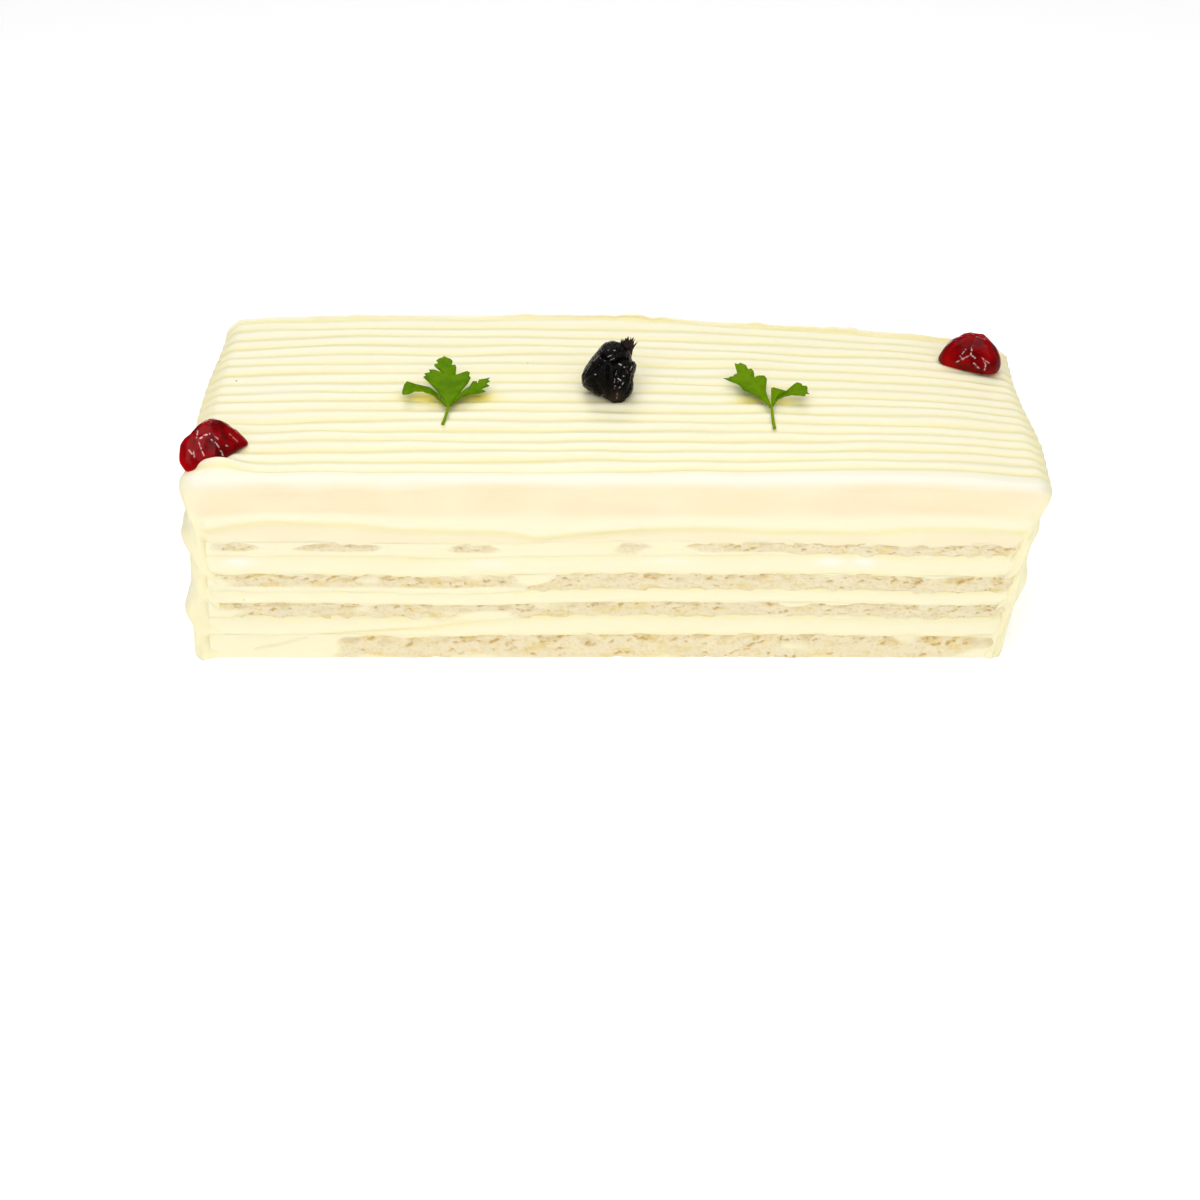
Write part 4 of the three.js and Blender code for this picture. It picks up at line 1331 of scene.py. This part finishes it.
def leaflet_rings(sprig, leaflet):
    """A leaflet as a closed thin sheet. Its grid runs along the spine and, across it,
    from the right edge over the spine to the left edge, along straight ribs. Between
    its ribs the sheet is quilted, and it arches from edge to edge. Gives the mark "rib",
    above 0 on the ribs and underneath, and below 0 at the edges."""
    spine = np.array(leaflet["spine"], float)
    edges = [np.array(leaflet[side], float) for side in ("right", "left")]
    stations = np.linspace(0, 1, LEAF_STATIONS)
    knots = np.linspace(0, 1, len(spine))
    middle = np.stack([np.interp(stations, knots, spine[:, i]) for i in (0, 1)], axis=-1)
    rims = []
    for edge in edges:
        rims.append(np.stack([rounded(stations, edge[:, 2], edge[:, i]) for i in (0, 1)], axis=-1))
    across = np.sin(np.linspace(np.pi / 2, -np.pi / 2, 2 * LEAF_COLUMNS + 1))[None, :]
    rim = np.where(across[..., None] > 0, rims[0][:, None], rims[1][:, None])
    flat = mix(middle[:, None], rim, np.abs(across)[..., None])
    reach = np.abs(across)
    lobes = np.cos(2 * np.pi * 7 * stations)[:, None]
    lengthwise = np.sin(np.pi * np.clip(stations, 0.05, 1))[:, None]
    arch = -leaflet["camber"] * (reach ** 2 - 0.3) * lengthwise
    quilt = 0.12 * lobes * np.sin(np.pi * reach)
    curl = 0.5 * np.sin(flat[..., 0] / 2.6 + leaflet["lift"] * 9) * smooth(flat[..., 1], 2, 9)
    height = leaflet["lift"] + arch + quilt + 0.6 * curl
    thick = LEAF_THICKNESS * np.sqrt(np.clip(1.02 - reach ** 4, 0, 1)) / 2
    upper = on_leaf(sprig, flat[..., 0], flat[..., 1], height + thick)
    lower = on_leaf(sprig, flat[..., 0], flat[..., 1], height - thick)
    rib = np.maximum(0.15 * mound(reach, 0.06), 0.12 * mound(lobes - 1, 0.08) * (1 - reach))
    rib = rib + sprig["pale"] - 0.6 * smooth(reach, 0.75, 1)
    points = np.concatenate([upper, lower[:, ::-1]], axis=1)
    return points, np.concatenate([rib, np.full_like(rib, 0.45)], axis=1)


def stalk_rings(sprig):
    """A thin stalk: a round section carried along its line, thicker towards its foot."""
    line = np.array(sprig["stalk"], float)
    share = np.linspace(0, len(line) - 1, STALK_RINGS)
    x = curve(share, range(len(line)), line[:, 0])[:, None]
    y = curve(share, range(len(line)), line[:, 1])[:, None]
    radius = mix(0.42, 0.55, np.linspace(0, 1, STALK_RINGS))[:, None]
    turn = np.linspace(0, 2 * np.pi, STALK_STEPS, endpoint=False)[None, :]
    height = 0.35 + radius * np.sin(turn) + 0 * x
    return on_leaf(sprig, x + radius * np.cos(turn), y + 0 * turn, height)


# Settings


def colour_property(name, description, default):
    """A colour in linear numbers."""
    return FloatVectorProperty(
        name=name, description=description, default=default, subtype="COLOR", size=3, min=0, max=1
    )


def length_property(name, description, default):
    """A length given in millimetres."""
    return FloatProperty(
        name=name, description=description, default=default * MM, unit="LENGTH", precision=4
    )


def strength_property(name, description, default):
    """The strength of a light."""
    return FloatProperty(name=name, description=description, default=default, min=0)


class CreamSettings(bpy.types.PropertyGroup):
    ridge_depth: length_property("Ridge depth", "Depth of the comb's valleys in the top", 0.72)
    filling_bulge: length_property("Filling bulge", "How far the fillings stand out", 1.0)
    glow: length_property("Glow", "How far light spreads inside the cream", 0.5)
    colour: colour_property("Cream", "Cream on the top and in the fillings", (0.985, 0.925, 0.79))
    # Painted shade in valleys, creases and folds, and random deeper patches
    deep_and_shade_colour: colour_property("Deep cream", "Cream in valleys and folds", (0.925, 0.835, 0.465))
    # Painted shade on the long sides
    beige_shade_colour: colour_property("Beige cream", "Cream on the long sides", (0.925, 0.797, 0.55))
    speck_colour: colour_property("Speck", "Small crumbs in the cream", (0.45, 0.25, 0.08))
    # Colour of the parsley's painted shadow on the cream
    shade_colour: colour_property("Cream in the parsley's shadow", "Cream next to the parsley", (0.90, 0.74, 0.09))


class BreadSettings(bpy.types.PropertyGroup):
    recess: length_property("Recess", "How far the slices are set back", 0.85)
    pore_depth: length_property("Pore depth", "Depth of the largest pores", 0.4)
    glow: length_property("Glow", "How far light spreads inside the crumb", 0.5)
    colour: colour_property("Crumb", "Main colour of the crumb", (0.87, 0.78, 0.55))
    pale_colour: colour_property("Pale crumb", "Walls between the pores", (0.94, 0.86, 0.70))
    toasted_colour: colour_property("Toasted crumb", "Darker patches of the crumb", (0.80, 0.62, 0.20))
    pore_colour: colour_property("Pore", "Bottom of the pores", (0.55, 0.32, 0.03))


class FruitSettings(bpy.types.PropertyGroup):
    cherry_colour: colour_property("Cherry", "Candied cherry", (0.30, 0.0, 0.002))
    cherry_dark_colour: colour_property("Dark cherry", "Thick parts of the cherry", (0.13, 0.0, 0.001))
    cherry_thin_colour: colour_property("Thin cherry", "Lobes that light comes through", (0.6, 0.0, 0.0))
    prune_colour: colour_property("Prune", "Prune skin", (0.002, 0.0016, 0.0014))
    prune_pale_colour: colour_property("Pale prune", "Dry patches of the prune", (0.008, 0.006, 0.006))
    # Colour of the painted glints on the cherries and the prune
    glint_colour: colour_property("Painted glint", "Lines of dried syrup on the fruit", (0.90, 0.80, 0.80))
    tuft_colour: colour_property("Tuft", "Dry sepals of the prune", (0.03, 0.014, 0.010))


class LeafSettings(bpy.types.PropertyGroup):
    colour: colour_property("Leaf", "Upper side of the parsley", (0.12, 0.25, 0.0))
    dark_colour: colour_property("Dark leaf", "Darker patches of the leaf", (0.07, 0.175, 0.0))
    rib_colour: colour_property("Rib", "Ribs, stalk and underside", (0.20, 0.31, 0.003))
    edge_colour: colour_property("Leaf edge", "Teeth at the leaf's edge", (0.05, 0.13, 0.0))


class StageSettings(bpy.types.PropertyGroup):
    floor_colour: colour_property("Floor", "Plain pale floor", (0.95, 0.95, 0.95))
    floor_glow: strength_property("Floor glow", "Light that the pale floor gives by itself", 0.3)
    sky_strength: strength_property("Sky", "Light from all round", 0.3)
    front_power: strength_property("Front light", "Watts of the wide light over the camera", 5.7)
    back_strength: strength_property("Back light", "Soft light from above and behind", 0.8)
    key_power: strength_property("Key light", "Watts of the smaller light over the camera", 2.35)


# Operators


def cream_material():
    """The cream material, made once for all the pieces of cream."""
    return bpy.data.materials.get("cake_cream") or cream_paint(bpy.context.scene.cake_cream)


class CAKE_OT_covering(bpy.types.Operator):
    """Makes the cream covering with its combed top and its two end coats"""

    bl_idname = "cake.covering"
    bl_label = "Cream covering"

    def execute(self, context):
        points, marks = covering(context.scene.cake_cream)
        piece = make_piece("cream_covering", [points], cream_material(), marks)
        dress(piece, "icing")
        return {"FINISHED"}


class CAKE_OT_slices(bpy.types.Operator):
    """Makes the four slices of bread with their porous faces and smears of cream"""

    bl_idname = "cake.slices"
    bl_label = "Bread slices"

    def execute(self, context):
        bread = context.scene.cake_bread
        material = bread_paint(bread, context.scene.cake_cream)
        x, rise = face_places(BREAD_OVERLAP)
        for number, node, bottom, top in layers("bread"):
            front = slice_face(node, x, rise, bread, number * 7 + 1)
            back = slice_face(node, -x, rise, bread, number * 7 + 4)
            points = band(x, rise, bottom, top, front[0], back[0])
            marks = {
                "film": [on_band(front[1], back[1])],
                "pore": [on_band(front[2], back[2])],
                "yellow_and_shade": [np.full(points.shape[:2], 0.5)],
                "beige_shade": [np.zeros(points.shape[:2])],
            }
            piece = make_piece(f"bread_slice_{node[-1]}", [points], material, marks)
            dress(piece, node)
        return {"FINISHED"}


class CAKE_OT_fillings(bpy.types.Operator):
    """Makes the three cream fillings that bulge between the slices"""

    bl_idname = "cake.fillings"
    bl_label = "Fillings"

    def execute(self, context):
        cream = context.scene.cake_cream
        x, rise = face_places(END_OVERLAP)
        for number, node, bottom, top in layers("filling"):
            shown = FILLING_STREAKS.get(node), FILLING_GLINTS.get(node, ())
            front = filling_face(x, rise, cream, number * 5, *shown)
            back = filling_face(-x, rise, cream, number * 5 + 2)
            ends = bottom - FILLING_OVERLAP, top + FILLING_OVERLAP
            points = band(x, rise, *ends, front[0], back[0])
            yellow_and_shade = on_band(front[1], back[1])
            marks = {"yellow_and_shade": [yellow_and_shade], "beige_shade": [0 * yellow_and_shade]}
            piece = make_piece(f"cream_filling_{node[-1]}", [points], cream_material(), marks)
            dress(piece, node)
        return {"FINISHED"}


class CAKE_OT_cherries(bpy.types.Operator):
    """Makes the two candied cherry halves"""

    bl_idname = "cake.cherries"
    bl_label = "Cherries"

    def execute(self, context):
        material = cherry_paint(context.scene.cake_fruit)
        for seed, (node, fruit) in enumerate(CHERRIES.items()):
            points, marks = cherry_rings(fruit, 60 + 4 * seed)
            piece = make_piece(f"{node}_half", [points], material, marks)
            dress(piece, node)
        return {"FINISHED"}


class CAKE_OT_prune(bpy.types.Operator):
    """Makes the wrinkled prune and the dry tuft at its end"""

    bl_idname = "cake.prune"
    bl_label = "Prune"

    def execute(self, context):
        fruit = context.scene.cake_fruit
        points, marks = prune_rings()
        dress(make_piece("prune_fruit", [points], prune_paint(fruit), marks), "prune")
        dress(make_piece("prune_tuft", tuft_tubes(), tuft_paint(fruit)), "prune")
        return {"FINISHED"}


class CAKE_OT_parsley(bpy.types.Operator):
    """Makes the two sprigs of parsley"""

    bl_idname = "cake.parsley"
    bl_label = "Parsley"

    def execute(self, context):
        material = leaf_paint(context.scene.cake_leaf)
        for node, sprig in SPRIGS.items():
            leaflets = [leaflet_rings(sprig, leaflet) for leaflet in sprig["leaflets"]]
            stalk = stalk_rings(sprig)
            tubes = [points for points, _ in leaflets] + [stalk]
            ribs = [rib for _, rib in leaflets] + [np.full(stalk.shape[:2], 0.7)]
            piece = make_piece(f"{node}_sprig", tubes, material, {"rib": ribs})
            dress(piece, node)
        return {"FINISHED"}


def floor_paint(stage):
    """A plain matt floor that glows a little by itself."""
    paint = Paint("pale_floor")
    return paint.finish(paint.shader(
        Base_Color=rgba(stage.floor_colour),
        Roughness=0.9,
        Specular_IOR_Level=0.1,
        Emission_Color=rgba(stage.floor_colour),
        Emission_Strength=stage.floor_glow,
    ))


def add_light(name, kind, place, aim, **settings):
    """A lamp of a kind at a place in metres, turned to the aim, with its settings."""
    lamp = bpy.data.lights.new(name, kind)
    for key, value in settings.items():
        setattr(lamp, key, value)
    light = bpy.data.objects.new(name, lamp)
    light.location = place
    light.rotation_euler = (Vector(aim) - Vector(place)).to_track_quat("-Z", "Y").to_euler()
    bpy.context.scene.collection.objects.link(light)


class CAKE_OT_stage(bpy.types.Operator):
    """Makes the floor, the lights and the camera"""

    bl_idname = "cake.stage"
    bl_label = "Stage"

    def execute(self, context):
        stage = context.scene.cake_stage
        scene = context.scene
        mesh = bpy.data.meshes.new("floor")
        signs = [(-1, -1), (1, -1), (1, 1), (-1, 1)]
        mesh.from_pydata([(a * FLOOR_HALF, b * FLOOR_HALF, 0) for a, b in signs], [], [(0, 1, 2, 3)])
        mesh.materials.append(floor_paint(stage))
        floor = bpy.data.objects.new("floor", mesh)
        scene.collection.objects.link(floor)

        world = bpy.data.worlds.new("studio")
        world.use_nodes = True
        background = world.node_tree.nodes["Background"]
        background.inputs["Color"].default_value = (1, 1, 1, 1)
        background.inputs["Strength"].default_value = stage.sky_strength
        scene.world = world
        scene.view_settings.view_transform = "Standard"

        top = (0, 0, 0.06)
        front, back, key = (0.0, -0.5, 0.85), (-0.12, 0.62, 0.78), (-0.02, -0.42, 0.88)
        soft = math.radians(30)
        add_light("front_light", "AREA", front, top, size=1.3, energy=stage.front_power)
        add_light("back_light", "SUN", back, (0, 0, 0), angle=soft, energy=stage.back_strength)
        add_light("key_light", "AREA", key, top, size=0.8, energy=stage.key_power)

        lens = bpy.data.cameras.new("camera")
        lens.sensor_width = SENSOR_WIDTH
        lens.lens = FOCAL_PIXELS * SENSOR_WIDTH / PHOTO_SIZE
        lens.clip_start = 0.01
        camera = bpy.data.objects.new("camera", lens)
        camera.location = Vector(CAMERA_PLACE) * MM
        camera.rotation_euler = Euler((math.pi / 2 - CAMERA_PITCH, 0, 0))
        scene.collection.objects.link(camera)
        scene.camera = camera
        return {"FINISHED"}


class CAKE_PT_panel(bpy.types.Panel):
    """Lists the pieces of the cake and their settings"""

    bl_idname = "CAKE_PT_panel"
    bl_label = "Sandwich cake"
    bl_space_type = "VIEW_3D"
    bl_region_type = "UI"
    bl_category = "Cake"

    def draw(self, context):
        for operator in OPERATORS:
            self.layout.operator(operator.bl_idname)
        for name, group in SETTINGS.items():
            box = self.layout.box()
            for prop in group.__annotations__:
                box.prop(getattr(context.scene, name), prop)


SETTINGS = {
    "cake_cream": CreamSettings,
    "cake_bread": BreadSettings,
    "cake_fruit": FruitSettings,
    "cake_leaf": LeafSettings,
    "cake_stage": StageSettings,
}
OPERATORS = (
    CAKE_OT_stage,
    CAKE_OT_covering,
    CAKE_OT_slices,
    CAKE_OT_fillings,
    CAKE_OT_cherries,
    CAKE_OT_prune,
    CAKE_OT_parsley,
)
CLASSES = (*SETTINGS.values(), *OPERATORS, CAKE_PT_panel)


def register():
    for made in CLASSES:
        bpy.utils.register_class(made)
    for name, group in SETTINGS.items():
        setattr(bpy.types.Scene, name, PointerProperty(type=group))


def unregister():
    for name in SETTINGS:
        delattr(bpy.types.Scene, name)
    for made in reversed(CLASSES):
        bpy.utils.unregister_class(made)


def main():
    register()
    for operator in OPERATORS:
        section, name = operator.bl_idname.split(".")
        getattr(getattr(bpy.ops, section), name)()


if __name__ == "__main__":
    main()
